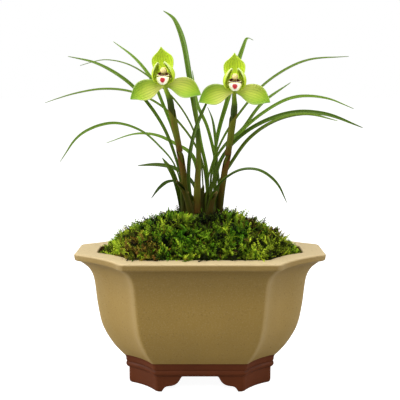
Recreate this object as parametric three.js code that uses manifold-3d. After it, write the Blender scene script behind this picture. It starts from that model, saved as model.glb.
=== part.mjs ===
// A spring orchid in a flared stoneware pot: two open flowers and a tuft of grassy leaves
// growing from five pseudobulbs, on a mossy mound of potting mix.
// Millimetres, +Z up. The origin is the middle of the pot's footprint, at the height it stands on.
// The pot's long side runs along X, and the flowers face -Y.
import * as THREE from "three";
import { mergeVertices } from "three/addons/utils/BufferGeometryUtils.js";
import Module from "manifold-3d";

const wasm = await Module();
wasm.setup();

// ---- Driving dimensions ----------------------------------------------------------------------

const POT_LENGTH = 220; // rim, along X
const POT_DEPTH = 136; // rim, along Y
const POT_HEIGHT = 119;
const CORNER_CUT = 43; // how far each rim corner is cut back, along X and along Y
const CORNER_SCOOP = 0.1; // hollow of a corner cut, as a share of its chord
const ARC_STEPS = 7; // facets along one corner cut
const RIM_WIDTH = 19.5; // flat top of the rim
const RIM_THICKNESS = 6;
const WALL = 8;
const FLOOR = 8;
const FOOT_HEIGHT = 14; // clear height under the pot's bottom
const FOOT_SIZE = 0.578; // plan of the feet, as a share of the rim's
const FOOT_WALL = 9;
const BAND_HEIGHT = 12; // unglazed moulding between the feet and the glazed wall
const DRAIN_RADIUS = 6;
const DRAIN_SPACING = 60;
const FIT = 0.4; // clearance between pieces that touch

const MESH_RADIUS = 12;
const MESH_THICKNESS = 1;
const DRAINAGE_DEPTH = 14;
const MOSS_THICKNESS = 6;
const MOSS_BELOW_RIM = 1.5; // top of the moss at the pot's wall
const MOUND_RISE = 38; // top of the mound above the moss at the wall
const CROWN_RISE = 34.3; // level where the leaves leave the pseudobulbs, above the rim
const CROWN_OPENING = [29, 22]; // half axes of the opening in the moss
const CROWN_CENTRE = [3, -2];

const BULB_RADIUS = 6.4;
const BULB_TOP_RADIUS = 5.9;
const BULB_DEPTH = 13;

const LEAF_WIDTH = 5.4;
const LEAF_THICKNESS = 0.9;
const LEAF_FOLD = 0.26; // height of the V fold, as a share of the width
const LEAF_STEPS = 18;

const SCAPE_RADIUS = 1.5;
const SHEATH_WALL = 0.7; // thickness at a sheath's foot
const SHEATH_TAPER = 0.26; // what a lower sheath loses towards its mouth
const SEGMENTS = 12;
const PETAL_THICKNESS = 0.9;

const rimZ = POT_HEIGHT;
const crownZ = rimZ + CROWN_RISE;

// ---- Meshes and solids -----------------------------------------------------------------------

const group = new THREE.Group();

function material(hex, roughness, metalness = 0) {
  return new THREE.MeshStandardMaterial({ color: hex, roughness, metalness });
}
const FINISH = {
  pot: material(0xa98f57, 0.55),
  plastic: material(0x2d2f2c, 0.6),
  pumice: material(0x9a8b78, 0.95),
  soil: material(0x3a2a1e, 0.98),
  moss: material(0x55781f, 0.95),
  bulb: material(0x6d6a2c, 0.6),
  leaf: material(0x3f6d22, 0.45),
  scape: material(0x6f7a25, 0.5),
  sheath: material(0x5d5420, 0.6),
  sepal: material(0x9bbf33, 0.5),
  lip: material(0xf1edcf, 0.5),
  column: material(0xcfd06a, 0.45),
};

function addNode(name, geometry, finish, parent = group) {
  const mesh = new THREE.Mesh(geometry, finish);
  mesh.name = name;
  parent.add(mesh);
  return mesh;
}

// A closed surface from a flat list of [x, y, z] points and triangles that index it.
function geometryOf(points, triangles) {
  const geometry = new THREE.BufferGeometry();
  geometry.setAttribute("position", new THREE.Float32BufferAttribute(points.flat(), 3));
  geometry.setIndex(triangles.flat());
  return geometry;
}

// Joins a stack of rings with the same number of points. The first and last ring are closed by a
// fan round their middle; rings run anticlockwise when seen from the end of the stack.
function loft(rings) {
  const n = rings[0].length;
  const points = rings.flat();
  const triangles = [];
  for (let level = 0; level + 1 < rings.length; level++) {
    for (let i = 0; i < n; i++) {
      const a = level * n + i;
      const b = level * n + ((i + 1) % n);
      triangles.push([a, b, b + n], [a, b + n, a + n]);
    }
  }
  const middle = (ring) => [0, 1, 2].map((k) => ring.reduce((s, p) => s + p[k], 0) / n);
  const last = (rings.length - 1) * n;
  points.push(middle(rings[0]), middle(rings[rings.length - 1]));
  for (let i = 0; i < n; i++) {
    const j = (i + 1) % n;
    triangles.push([points.length - 2, j, i], [points.length - 1, last + i, last + j]);
  }
  return geometryOf(points, triangles);
}

function toSolid(geometry) {
  const bare = new THREE.BufferGeometry();
  bare.setAttribute("position", geometry.getAttribute("position").clone());
  if (geometry.index) bare.setIndex(geometry.index.clone());
  const merged = mergeVertices(bare, 1e-3);
  return new wasm.Manifold(
    new wasm.Mesh({
      numProp: 3,
      vertProperties: merged.attributes.position.array,
      triVerts: new Uint32Array(merged.index.array),
    }),
  );
}

function toGeometry(solid) {
  const mesh = solid.getMesh();
  const geometry = new THREE.BufferGeometry();
  geometry.setAttribute("position", new THREE.BufferAttribute(mesh.vertProperties, 3));
  geometry.setIndex(new THREE.BufferAttribute(mesh.triVerts, 1));
  return geometry;
}

// ---- The pot's plan --------------------------------------------------------------------------

// Half length, half depth and corner cut of the rim's plan, shrunk by a share and then moved
// inwards by a distance.
function plan(share, inset = 0) {
  return {
    x: (POT_LENGTH / 2) * share - inset,
    y: (POT_DEPTH / 2) * share - inset,
    cut: CORNER_CUT * share - inset * (2 - Math.SQRT2),
  };
}

// One anticlockwise ring: a rectangle whose corners are cut off by shallow hollow arcs.
function planRing({ x, y, cut }, z) {
  const chord = cut * Math.SQRT2;
  const scoop = chord * CORNER_SCOOP;
  const ring = [];
  for (let corner = 0; corner < 4; corner++) {
    const sx = corner === 0 || corner === 3 ? 1 : -1;
    const sy = corner < 2 ? 1 : -1;
    for (let step = 0; step <= ARC_STEPS; step++) {
      const forward = corner % 2 === 0 ? step : ARC_STEPS - step;
      const t = forward / ARC_STEPS;
      const hollow = (4 * t * (1 - t) * scoop) / Math.SQRT2;
      ring.push([sx * (x - cut * t - hollow), sy * (y - cut * (1 - t) - hollow), z]);
    }
  }
  return ring;
}

// ---- Pot -------------------------------------------------------------------------------------

const bandTop = FOOT_HEIGHT + BAND_HEIGHT;
const floorZ = FOOT_HEIGHT + FLOOR;

// The wall's outside, as [height, share of the rim's plan], from the bottom up to the rim.
const wallHeight = rimZ - RIM_THICKNESS - bandTop;
const wallProfile = [
  [0.0, 0.62],
  [0.12, 0.7],
  [0.31, 0.782],
  [0.53, 0.82],
  [0.8, 0.846],
  [0.885, 0.868],
  [0.94, 0.9],
  [0.98, 0.94],
].map(([up, share]) => [bandTop + up * wallHeight, share]);

const footProfile = [
  [FOOT_HEIGHT, FOOT_SIZE],
  [FOOT_HEIGHT + 0.8, FOOT_SIZE + 0.012],
  [FOOT_HEIGHT + 3.5, FOOT_SIZE + 0.024],
  [FOOT_HEIGHT + 6, FOOT_SIZE + 0.02],
  [FOOT_HEIGHT + 9, FOOT_SIZE + 0.022],
];

const rimProfile = [
  [rimZ - RIM_THICKNESS, 0.975],
  [rimZ - RIM_THICKNESS + 1.2, 0.995],
  [rimZ - 1.4, 1.0],
];

// Share of the rim's plan that the wall's outside has at a height.
function wallShare(z) {
  const rows = wallProfile;
  if (z <= rows[0][0]) return rows[0][1];
  for (let i = 1; i < rows.length; i++) {
    if (z <= rows[i][0]) {
      const t = (z - rows[i - 1][0]) / (rows[i][0] - rows[i - 1][0]);
      return rows[i - 1][1] + t * (rows[i][1] - rows[i - 1][1]);
    }
  }
  return rows[rows.length - 1][1];
}

const openingPlan = plan(1, RIM_WIDTH);

const shrink = ({ x, y, cut }, by) => ({
  x: x - by,
  y: y - by,
  cut: cut - by * (2 - Math.SQRT2),
});

// The room inside the pot, as [height, plan]: the wall's outside less its thickness, and no wider
// than the opening inside the rim.
const roomRows = [0, 0.03, 0.2, 0.45, 0.7].map((up) => {
  const z = floorZ + up * (rimZ - floorZ);
  const room = plan(wallShare(z), up ? WALL : WALL + 3);
  return [z, {
    x: Math.min(room.x, openingPlan.x),
    y: Math.min(room.y, openingPlan.y),
    cut: Math.min(room.cut, openingPlan.cut),
  }];
});
roomRows.push([rimZ - 1.2, openingPlan]);

// Plan of the room at any height, between the rows above.
function roomPlan(z) {
  const next = Math.max(1, roomRows.findIndex(([level]) => level >= z));
  const [z0, low] = roomRows[next - 1];
  const [z1, high] = roomRows[next];
  const t = (z - z0) / (z1 - z0);
  const mix = (key) => low[key] + t * (high[key] - low[key]);
  return { x: mix("x"), y: mix("y"), cut: mix("cut") };
}

function potSolid() {
  const outside = [...footProfile, ...wallProfile, ...rimProfile];
  const rings = outside.map(([z, share]) => planRing(plan(share), z));
  rings.push(planRing(plan(1, 1), rimZ));
  rings.push(planRing(shrink(openingPlan, -1.2), rimZ));
  for (const [z, room] of [...roomRows].reverse()) rings.push(planRing(room, z));
  let solid = toSolid(loft(rings));

  const skirtPlan = plan(FOOT_SIZE);
  const overlap = 0.5; // so that the skirt joins the bottom
  const skirt = toSolid(
    loft([
      planRing(shrink(skirtPlan, 1.2), 0),
      planRing(skirtPlan, 1.6),
      planRing(skirtPlan, FOOT_HEIGHT + overlap),
    ]),
  );
  const hollowPlan = shrink(skirtPlan, FOOT_WALL);
  const hollow = toSolid(
    loft([planRing(hollowPlan, -1), planRing(hollowPlan, FOOT_HEIGHT)]),
  );
  solid = solid.add(skirt.subtract(hollow));
  for (const turned of [false, true]) solid = solid.subtract(archSolid(turned));
  for (const side of [-1, 1]) solid = solid.subtract(drainHole(side));
  return solid;
}

// The cloud-shaped gap between two feet, cut right through: along Y, or along X when turned.
function archSolid(turned) {
  const straight = plan(FOOT_SIZE);
  const half = (turned ? straight.y : straight.x) - straight.cut;
  const top = half * (turned ? 0.3 : 0.4);
  const foot = half * (turned ? 0.78 : 0.86);
  const across = foot - top;
  const h = FOOT_HEIGHT;
  const side = new THREE.Shape();
  side.moveTo(-foot - 1, -1);
  side.lineTo(-foot, 0.2);
  side.quadraticCurveTo(-foot + across * 0.12, h * 0.33, -foot + across * 0.32, h * 0.37);
  side.bezierCurveTo(
    -foot + across * 0.62, h * 0.43,
    -foot + across * 0.82, h * 0.55,
    -top - across * 0.08, h * 0.86,
  );
  side.quadraticCurveTo(-top, h, -top + 2, h);
  side.lineTo(top - 2, h);
  side.quadraticCurveTo(top, h, top + across * 0.08, h * 0.86);
  side.bezierCurveTo(
    foot - across * 0.82, h * 0.55,
    foot - across * 0.62, h * 0.43,
    foot - across * 0.32, h * 0.37,
  );
  side.quadraticCurveTo(foot - across * 0.12, h * 0.33, foot, 0.2);
  side.lineTo(foot + 1, -1);
  side.closePath();
  const length = POT_LENGTH;
  const cutter = new THREE.ExtrudeGeometry(side, {
    depth: length,
    bevelEnabled: false,
    curveSegments: 4,
  });
  cutter.translate(0, 0, -length / 2);
  cutter.rotateX(Math.PI / 2);
  if (turned) cutter.rotateZ(Math.PI / 2);
  return toSolid(cutter);
}

function drainHole(side) {
  const hole = new THREE.CylinderGeometry(DRAIN_RADIUS, DRAIN_RADIUS, FLOOR * 3, 20);
  hole.rotateX(Math.PI / 2);
  hole.translate((side * DRAIN_SPACING) / 2, 0, floorZ - FLOOR / 2);
  return toSolid(hole);
}

addNode("pot", toGeometry(potSolid()), FINISH.pot);

// ---- What the pot holds ----------------------------------------------------------------------

for (const [name, side] of [["drain_mesh_left", -1], ["drain_mesh_right", 1]]) {
  const disc = new THREE.CylinderGeometry(MESH_RADIUS, MESH_RADIUS, MESH_THICKNESS, 24);
  disc.rotateX(Math.PI / 2);
  disc.translate((side * DRAIN_SPACING) / 2, 0, floorZ + FIT + MESH_THICKNESS / 2);
  addNode(name, disc, FINISH.plastic);
}

const drainageBottom = floorZ + MESH_THICKNESS + 2 * FIT;
const drainageTop = floorZ + DRAINAGE_DEPTH;
// Levels of a filling between two heights, taking in the room's own levels.
function fillingRings(from, to) {
  const between = roomRows.map(([z]) => z).filter((z) => z > from + 0.5 && z < to - 0.5);
  return [from, ...between, to].map((z) => planRing(shrink(roomPlan(z), FIT), z));
}
addNode("drainage_stones", loft(fillingRings(drainageBottom, drainageTop)), FINISH.pumice);

// Height of the moss above its edge, with the distance from the middle as a share of the way out.
const mound = (out) => MOUND_RISE * (1 - out) ** 0.95 * (1 + 0.35 * out);
const mossEdgeZ = rimZ - MOSS_BELOW_RIM;
const mossPlan = shrink(roomPlan(mossEdgeZ - MOSS_THICKNESS - FIT), FIT);
const scaled = ({ x, y, cut }, by) => ({ x: x * by, y: y * by, cut: cut * by });
const moundSteps = [1, 0.88, 0.74, 0.6, 0.46, 0.32, 0.18, 0.06];
const moundRing = (out, sink) => planRing(scaled(mossPlan, out), mossEdgeZ + mound(out) - sink);

// The crown's plan is drawn for bulbs of radius 6.4; with other bulbs the root of everything that
// stands on them moves out or in by this share, which fades away up to 50 mm above them.
const crownSpread = BULB_RADIUS / 6.4;
const spreadOut = ([x, y]) => [x * crownSpread, y * crownSpread];
const rooted = (points, root = points[0]) =>
  points.map(([x, y, z]) => {
    const move = (crownSpread - 1) * Math.max(0, 1 - z / 50);
    return [x + root[0] * move, y + root[1] * move, z];
  });

function crownCutter(size, from, to) {
  const cutter = new THREE.CylinderGeometry(1, 1, to - from, 28);
  cutter.rotateX(Math.PI / 2);
  const [halfX, halfY] = spreadOut(CROWN_OPENING);
  const [x, y] = spreadOut(CROWN_CENTRE);
  cutter.scale(halfX * size, halfY * size, 1);
  cutter.translate(x, y, (from + to) / 2);
  return toSolid(cutter);
}

const BULBS = {
  left: spreadOut([-12.5, -0.5]),
  front: spreadOut([-5, -12.5]),
  back: spreadOut([4, 5]),
  right: spreadOut([17, 1]),
  middle: spreadOut([7.5, -8.5]),
};

// A pseudobulb with a flat top, where the leaves stand.
function bulbGeometry([x, y], grow = 0) {
  const top = crownZ - 1.5 * FIT;
  const profile = [
    [0, -BULB_DEPTH - grow],
    [0.5, -BULB_DEPTH * 0.96 - grow],
    [0.86, -BULB_DEPTH * 0.74],
    [1, -BULB_DEPTH * 0.42],
    [BULB_TOP_RADIUS / BULB_RADIUS, 0],
    [BULB_TOP_RADIUS / BULB_RADIUS, grow * 4],
    [0, grow * 4],
  ];
  const rows = grow ? profile : profile.slice(0, 5).concat([[0, 0]]);
  const outline = rows.map(
    ([r, z]) => new THREE.Vector2(r === 0 ? 0 : r * BULB_RADIUS + grow, z),
  );
  const bulb = new THREE.LatheGeometry(outline, 16);
  bulb.rotateX(Math.PI / 2);
  bulb.translate(x, y, top);
  return bulb;
}
for (const [name, at] of Object.entries(BULBS)) {
  addNode("pseudobulb_" + name, bulbGeometry(at), FINISH.bulb);
}

const soilCrownZ = crownZ - 4;
const soilBottom = drainageTop + FIT;
const soilSink = MOSS_THICKNESS + FIT;
function soilSolid() {
  const rings = fillingRings(soilBottom, mossEdgeZ - soilSink - 3);
  for (const out of moundSteps) rings.push(moundRing(out, soilSink));
  let solid = toSolid(loft(rings));
  solid = solid.subtract(crownCutter(1, soilCrownZ, crownZ + MOUND_RISE));
  for (const at of Object.values(BULBS)) solid = solid.subtract(toSolid(bulbGeometry(at, FIT)));
  return solid;
}
addNode("potting_mix", toGeometry(soilSolid()), FINISH.soil);

function mossSolid() {
  const inwards = [...moundSteps].slice(0, -1);
  const rings = [...inwards].reverse().map((out) => moundRing(out, MOSS_THICKNESS));
  for (const out of inwards) rings.push(moundRing(out, 0));
  const slab = toSolid(loft(rings));
  return slab.subtract(crownCutter(1, rimZ - MOSS_THICKNESS, crownZ + MOUND_RISE));
}
addNode("moss_carpet", toGeometry(mossSolid()), FINISH.moss);

// ---- Leaves, stems and sheaths ---------------------------------------------------------------

const at = ([x, y, rise]) => new THREE.Vector3(x, y, crownZ + rise);

// A smooth path through points given as [x, y, height above the crown].
const pathOf = (points) => new THREE.CatmullRomCurve3(points.map(at), false, "centripetal");

// Width of a leaf along its length, as a share of its widest.
function leafShare(t) {
  const base = 0.56 + 0.44 * Math.sin(Math.min(1, t / 0.42) * (Math.PI / 2));
  return base * Math.max(0.07, 1 - Math.max(0, (t - 0.45) / 0.55) ** 1.9);
}

// A folded grass-like blade along a path. twist turns the blade about its path, from root to tip,
// in degrees: at 0 it lies level across its arch, at 90 it stands on edge.
function leafGeometry({ path, width = LEAF_WIDTH, twist = [0, 0] }) {
  const curve = pathOf(rooted(path));
  const ends = [curve.getPoint(0), curve.getPoint(1)];
  const heading = ends[1].clone().sub(ends[0]).setZ(0).normalize();
  const level = new THREE.Vector3(-heading.y, heading.x, 0);
  const rings = [];
  for (let step = 0; step <= LEAF_STEPS; step++) {
    const t = step / LEAF_STEPS;
    const centre = curve.getPointAt(t);
    const along = curve.getTangentAt(t);
    const turn = THREE.MathUtils.degToRad(twist[0] + (twist[1] - twist[0]) * t);
    const side = level.clone().addScaledVector(along, -level.dot(along)).normalize();
    side.applyAxisAngle(along, turn);
    const up = new THREE.Vector3().crossVectors(along, side);
    const half = (width * leafShare(t)) / 2;
    const thick = LEAF_THICKNESS * (0.45 + 0.55 * leafShare(t));
    const lift = half * 2 * LEAF_FOLD;
    const section = [
      [half, lift], [0, 0.25 * thick], [-half, lift],
      [-half * 0.96, lift - thick * 0.7], [0, -thick * 0.75], [half * 0.96, lift - thick * 0.7],
    ];
    rings.push(
      section.map(([s, u]) => {
        const p = centre.clone().addScaledVector(side, s).addScaledVector(up, u);
        return [p.x, p.y, p.z];
      }),
    );
  }
  return stripLoft(rings);
}

// Joins six-point sections of a folded blade; the two ends are closed by the fold's two halves.
function stripLoft(rings) {
  const points = rings.flat();
  const n = 6;
  const triangles = [];
  for (let level = 0; level + 1 < rings.length; level++) {
    for (let i = 0; i < n; i++) {
      const a = level * n + i;
      const b = level * n + ((i + 1) % n);
      triangles.push([a, b, b + n], [a, b + n, a + n]);
    }
  }
  const cap = [[0, 1, 4], [0, 4, 5], [1, 2, 3], [1, 3, 4]];
  const last = (rings.length - 1) * n;
  for (const [a, b, c] of cap) {
    triangles.push([a, c, b], [last + a, last + b, last + c]);
  }
  return geometryOf(points, triangles);
}

// The young shoot in front, whose top holds the tallest leaf.
const SHOOT = [[-2.9, -12, 0], [-2.3, -12.3, 25], [-1.2, -11.3, 48], [-2.2, -9.2, 74]];

// Each leaf: the path from its root to its tip, [x, y, height above the crown].
const LEAVES = {
  leaf_tall: {
    path: [[-2.2, -9, 75], [-5, -6, 92], [-9, 0, 119], [-14.5, 6, 149], [-19.5, 9, 163],
      [-24, 11, 170.5], [-32.5, 14, 176.5]],
    twist: [-70, -60],
  },
  leaf_left_back: {
    path: [[-9, 4.2, 0], [-15.3, 9, 36], [-24.5, 15, 72], [-32.5, 20, 92], [-44, 27, 117],
      [-59.5, 36, 136], [-80.5, 48, 152]],
    twist: [-35, -45],
  },
  leaf_left_long: {
    path: [[-13.4, 3, 0], [-17, 2, 30], [-23.5, -1, 54], [-32.5, -3, 76], [-46.5, -4, 97],
      [-63, -5, 114.5], [-89, -7, 130], [-114, -8, 136]],
    twist: [-50, -40],
  },
  leaf_left_thin: {
    path: [[3.8, 9.2, 0], [-0.5, 11, 54], [-9.5, 13, 79], [-24, 14, 100], [-43, 13, 117],
      [-63, 14, 129.5], [-86, 18, 134], [-108, 22, 129]],
    width: 3.6,
    twist: [-30, -10],
  },
  leaf_left_reach: {
    path: [[7.4, 8.2, 0], [2.8, 16.5, 40], [-5, 21, 59], [-20, 26, 79], [-36, 32, 93.5],
      [-61.5, 38, 105.5], [-89, 40, 108.5], [-119, 41, 103.5], [-144, 40, 95.5]],
    width: 4.2,
    twist: [-30, -15],
  },
  leaf_left_droop: {
    path: [[-15.8, -3.2, 0], [-18, -10, 28.5], [-23.5, -17, 45], [-33.5, -25, 58],
      [-49.5, -35, 73], [-72.5, -48, 80], [-97, -60, 71], [-112, -70, 50]],
    twist: [-45, -50],
  },
  leaf_back_arch: {
    path: [[0.4, 6.6, 0], [-2.4, 15, 34], [-8, 23, 49], [-21.5, 34, 57], [-41.5, 48, 65],
      [-62, 58, 65.5], [-91, 71, 56.5]],
    twist: [-30, -20],
  },
  leaf_low_left: {
    path: [[0.6, 2.4, 0], [-5.5, 8, 23], [-13, 13.5, 31], [-24, 17, 37.5], [-38.5, 20, 40],
      [-57, 22, 39]],
    width: 4.8,
    twist: [-20, 0],
  },
  leaf_short: {
    path: [[-17, 0.6, 0], [-19.6, -1.5, 17.5], [-24.5, -5, 34], [-33, -9, 48.5]],
    width: 5.6,
    twist: [-70, -70],
  },
  leaf_front_left: {
    path: [[-8.6, -11.4, 0], [-12, -18, 17], [-19.5, -28, 28.5], [-27, -40, 30.5],
      [-34, -54, 26.5], [-39.5, -66, 20]],
    width: 5.6,
    twist: [-20, -30],
  },
  leaf_cross: {
    path: [[-6, -7.8, 0], [-9.6, -13, 29], [-8.8, -15.5, 49.5], [-4.4, -16, 71], [4.8, -13, 94],
      [10.3, -8, 104]],
    width: 4.6,
    twist: [70, 60],
  },
  leaf_pale: {
    path: [[17.4, 5.6, 0], [16.6, 9, 27], [12.6, 12, 51.5], [6, 13, 76], [-2, 17, 94],
      [-7, 24, 125]],
    width: 4.6,
    twist: [-60, -60],
  },
  leaf_centre: {
    path: [[7.6, 3.4, 0], [6.2, 5.5, 35], [0.8, 6, 60.5], [-2, 7, 78], [-4, 12, 102]],
    width: 4,
    twist: [-70, -60],
  },
  leaf_slim: {
    path: [[11.4, 2.8, 0], [14.6, 6.4, 31.5], [14.6, 8.6, 56], [11.2, 9, 81], [6.5, 9, 92.5]],
    width: 3.8,
    twist: [-70, -70],
  },
  leaf_hook: {
    path: [[12.8, 5, 0], [12.8, 16, 44.5], [17, 18, 71.5], [24.5, 20, 97.5], [36.5, 26, 139],
      [44.5, 30, 156], [48.5, 32, 152]],
    twist: [60, 50],
  },
  leaf_right_high: {
    path: [[4.4, -7.4, 0], [7.5, -6, 32], [16, -4, 56.5], [24, 2, 71.5], [41.5, 12, 95],
      [59.5, 22, 114], [96, 38, 134], [139, 50, 138.5]],
    width: 3.8,
    twist: [30, 15],
  },
  leaf_right_mid: {
    path: [[8.2, -4.4, 0], [11.9, 1.8, 41.5], [23.4, 10.6, 59.5], [38, 22, 71.5], [56, 34, 94],
      [85.5, 56, 114.5]],
    width: 4.6,
    twist: [40, 35],
  },
  leaf_right_arch: {
    path: [[12, -6.6, 0], [16.5, -0.9, 39.5], [28.5, 4.6, 60], [49, 16, 81], [83, 24, 100],
      [114, 30, 100], [142, 34, 90]],
    twist: [40, 50],
  },
  leaf_right_long: {
    // Passes behind the right stem.
    path: [[8.2, -8.9, 0], [13.2, -5.8, 33.5], [23, -8 + 4.4 * SCAPE_RADIUS, 53],
      [44.5, -6, 73.5], [77, -12, 87], [107.5, -16, 86.5], [140, -18, 75]],
    twist: [45, 60],
  },
  leaf_right_low: {
    path: [[13.4, -3, 0], [15.4, 1.4, 12], [18.8, 2.8, 25], [28.5, 3, 41.5], [44.5, -4, 64.5], [66, -14, 80],
      [90, -26, 86], [115, -38, 81.5]],
    width: 4.8,
    twist: [40, 45],
  },
  leaf_front_right: {
    path: [[6.6, -12.6, 0], [12, -20, 19], [23.5, -32, 33.5], [36.5, -44, 41], [50.5, -56, 40.5],
      [62.5, -64, 31.5], [70, -70, 17]],
    width: 4.8,
    twist: [25, 40],
  },
};

for (const [name, leaf] of Object.entries(LEAVES)) {
  addNode(name, leafGeometry(leaf), FINISH.leaf);
}

// A round stem along a path, with its radius given at the start and end.
function stemRings(curve, from, to, radius) {
  const steps = Math.max(2, Math.round((to - from) * 14));
  const rings = [];
  for (let step = 0; step <= steps; step++) {
    const t = from + ((to - from) * step) / steps;
    const centre = curve.getPointAt(t);
    const along = curve.getTangentAt(t);
    const side = new THREE.Vector3(1, 0, 0);
    side.addScaledVector(along, -side.dot(along)).normalize();
    const other = new THREE.Vector3().crossVectors(along, side);
    const r = radius(step / steps);
    const ring = [];
    for (let i = 0; i < SEGMENTS; i++) {
      const angle = (i / SEGMENTS) * 2 * Math.PI;
      const p = centre
        .clone()
        .addScaledVector(side, r * Math.cos(angle))
        .addScaledVector(other, r * Math.sin(angle));
      ring.push([p.x, p.y, p.z]);
    }
    rings.push(ring);
  }
  return rings;
}

// A thin sleeve round a stem: out along the outside and back along the inside.
function sleeveGeometry(curve, from, to, outer, inner) {
  const out = stemRings(curve, from, to, outer);
  const back = stemRings(curve, from, to, () => inner).reverse();
  const rings = [...out, ...back];
  const n = SEGMENTS;
  const triangles = [];
  for (let level = 0; level < rings.length; level++) {
    const next = (level + 1) % rings.length;
    for (let i = 0; i < n; i++) {
      const j = (i + 1) % n;
      triangles.push([level * n + i, level * n + j, next * n + j]);
      triangles.push([level * n + i, next * n + j, next * n + i]);
    }
  }
  return geometryOf(rings.flat(), triangles);
}

const SCAPES = {
  left: [[-10.3, -3.2, 0], [-13.7, -6, 28.5], [-17.9, -9, 55], [-23, -11, 82], [-26.4, -12, 100],
    [-29.4, -11, 107.4]],
  right: [[17.6, 0.6, 0], [20.6, -4, 28.5], [25.3, -8, 57], [28.5, -10, 82], [30, -10, 98],
    [29.6, -9, 101.6]],
};
const ovary = (t) => SCAPE_RADIUS * (1 + 0.55 * Math.max(0, (t - 0.75) / 0.25));
for (const [side, points] of Object.entries(SCAPES)) {
  const curve = pathOf(rooted(points));
  addNode("scape_" + side, loft(stemRings(curve, 0, 1, ovary)), FINISH.scape);
  const inner = SCAPE_RADIUS + FIT;
  const swollen = 1.4 * SCAPE_RADIUS; // clears the stem where it swells towards the flower
  addNode(
    "scape_sheath_low_" + side,
    sleeveGeometry(curve, 0.01, 0.5, (t) => inner + SHEATH_WALL - SHEATH_TAPER * t, inner),
    FINISH.sheath,
  );
  addNode(
    "scape_sheath_high_" + side,
    sleeveGeometry(
      curve,
      0.505,
      0.86,
      (t) => swollen + SHEATH_WALL + 0.008 - 2 * SHEATH_TAPER * t,
      swollen,
    ),
    FINISH.sheath,
  );
}

// The young shoot is rolled.
const shootCurve = pathOf(rooted(SHOOT));
addNode(
  "young_shoot",
  loft(stemRings(shootCurve, 0, 1, (t) => 2.8 - 1.1 * t)),
  FINISH.sheath,
);

// ---- Flowers ---------------------------------------------------------------------------------

// A petal: a cupped sheet along a spine. facing is the way its hollow side looks; halves gives
// the half width at even steps from base to tip; cup is how far the edges come forward.
function petalGeometry({ spine, facing, halves, cup, across = 6, steps = 9 }) {
  const curve = new THREE.CatmullRomCurve3(spine.map((p) => new THREE.Vector3(...p)));
  const widths = new THREE.SplineCurve(
    halves.map((h, i) => new THREE.Vector2(i / (halves.length - 1), h)),
  );
  const front = [];
  const back = [];
  for (let step = 0; step <= steps; step++) {
    const t = step / steps;
    const centre = curve.getPoint(t);
    const along = curve.getTangent(t);
    const look = new THREE.Vector3(...facing);
    look.addScaledVector(along, -look.dot(along)).normalize();
    const side = new THREE.Vector3().crossVectors(along, look);
    const half = Math.max(0.25, widths.getPoint(t).y);
    for (let i = 0; i <= across; i++) {
      const v = (i / across) * 2 - 1;
      const lift = cup * half * v * v;
      const thick = PETAL_THICKNESS * (1 - 0.6 * v * v);
      const p = centre.clone().addScaledVector(side, half * v).addScaledVector(look, lift);
      front.push([p.x, p.y, p.z]);
      p.addScaledVector(look, -thick);
      back.push([p.x, p.y, p.z]);
    }
  }
  const n = across + 1;
  const count = front.length;
  const triangles = [];
  const quad = (a, b, c, d) => triangles.push([a, c, b], [a, d, c]);
  for (let step = 0; step < steps; step++) {
    for (let i = 0; i < across; i++) {
      const a = step * n + i;
      quad(a, a + n, a + n + 1, a + 1);
      quad(count + a, count + a + 1, count + a + n + 1, count + a + n);
    }
    const left = step * n;
    const right = left + across;
    quad(left, count + left, count + left + n, left + n);
    quad(right, right + n, count + right + n, count + right);
  }
  for (let i = 0; i < across; i++) {
    const end = steps * n + i;
    quad(i, i + 1, count + i + 1, count + i);
    quad(end, count + end, count + end + 1, end + 1);
  }
  return geometryOf([...front, ...back], triangles);
}

// In the flower's own frame: the origin is where the sepals meet, +Z up, and it faces -Y.
const DORSAL = {
  spine: [[0, 4.6, 4.5], [0, 6.5, 13.5], [0, 5, 23], [0, 0, 32]],
  facing: [0, -1, 0],
  halves: [2.6, 6.6, 9, 9.4, 6.2, 0.3],
  cup: 0.3,
};
const LATERAL = {
  spine: [[3, 1.6, 0.2], [12, 2.4, -0.6], [21, 1, -3], [30, -2.5, -7]],
  facing: [0, -1, 0],
  halves: [1.4, 5.4, 8.2, 8.3, 5.2, 0.3],
  cup: 0.16,
};
const PETAL = {
  spine: [[4.4, 0.6, 4], [8, -0.6, 8.5], [8.2, -3.6, 14.5], [4.4, -7, 19.5]],
  facing: [-1, -0.5, 0],
  halves: [1.2, 4.4, 5, 4, 0.5],
  cup: 0.45,
};
const LIP = {
  spine: [[0, -3.6, 6.2], [0, -7.6, 8.4], [0, -11, 6.4], [0, -11.4, 1.6]],
  facing: [0, -0.5, 1],
  halves: [2.2, 4.6, 5.8, 5, 2.4],
  cup: 0.12,
};
const COLUMN = [[0, 1, 2.6], [0, 0.4, 8], [0, -3.4, 12.6]];
const ANTHER_CAP = [0, -6.4, 14.2];

// A petal with its spine swung round the flower's Y axis, and mirrored for the left hand.
function placed(petal, sign, swing) {
  const turn = THREE.MathUtils.degToRad(swing);
  const [c, s] = [Math.cos(turn), Math.sin(turn)];
  return {
    ...petal,
    spine: petal.spine.map(([x, y, z]) => [sign * (x * c + z * s), y, z * c - x * s]),
    facing: [sign * petal.facing[0], petal.facing[1], petal.facing[2]],
  };
}

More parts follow.
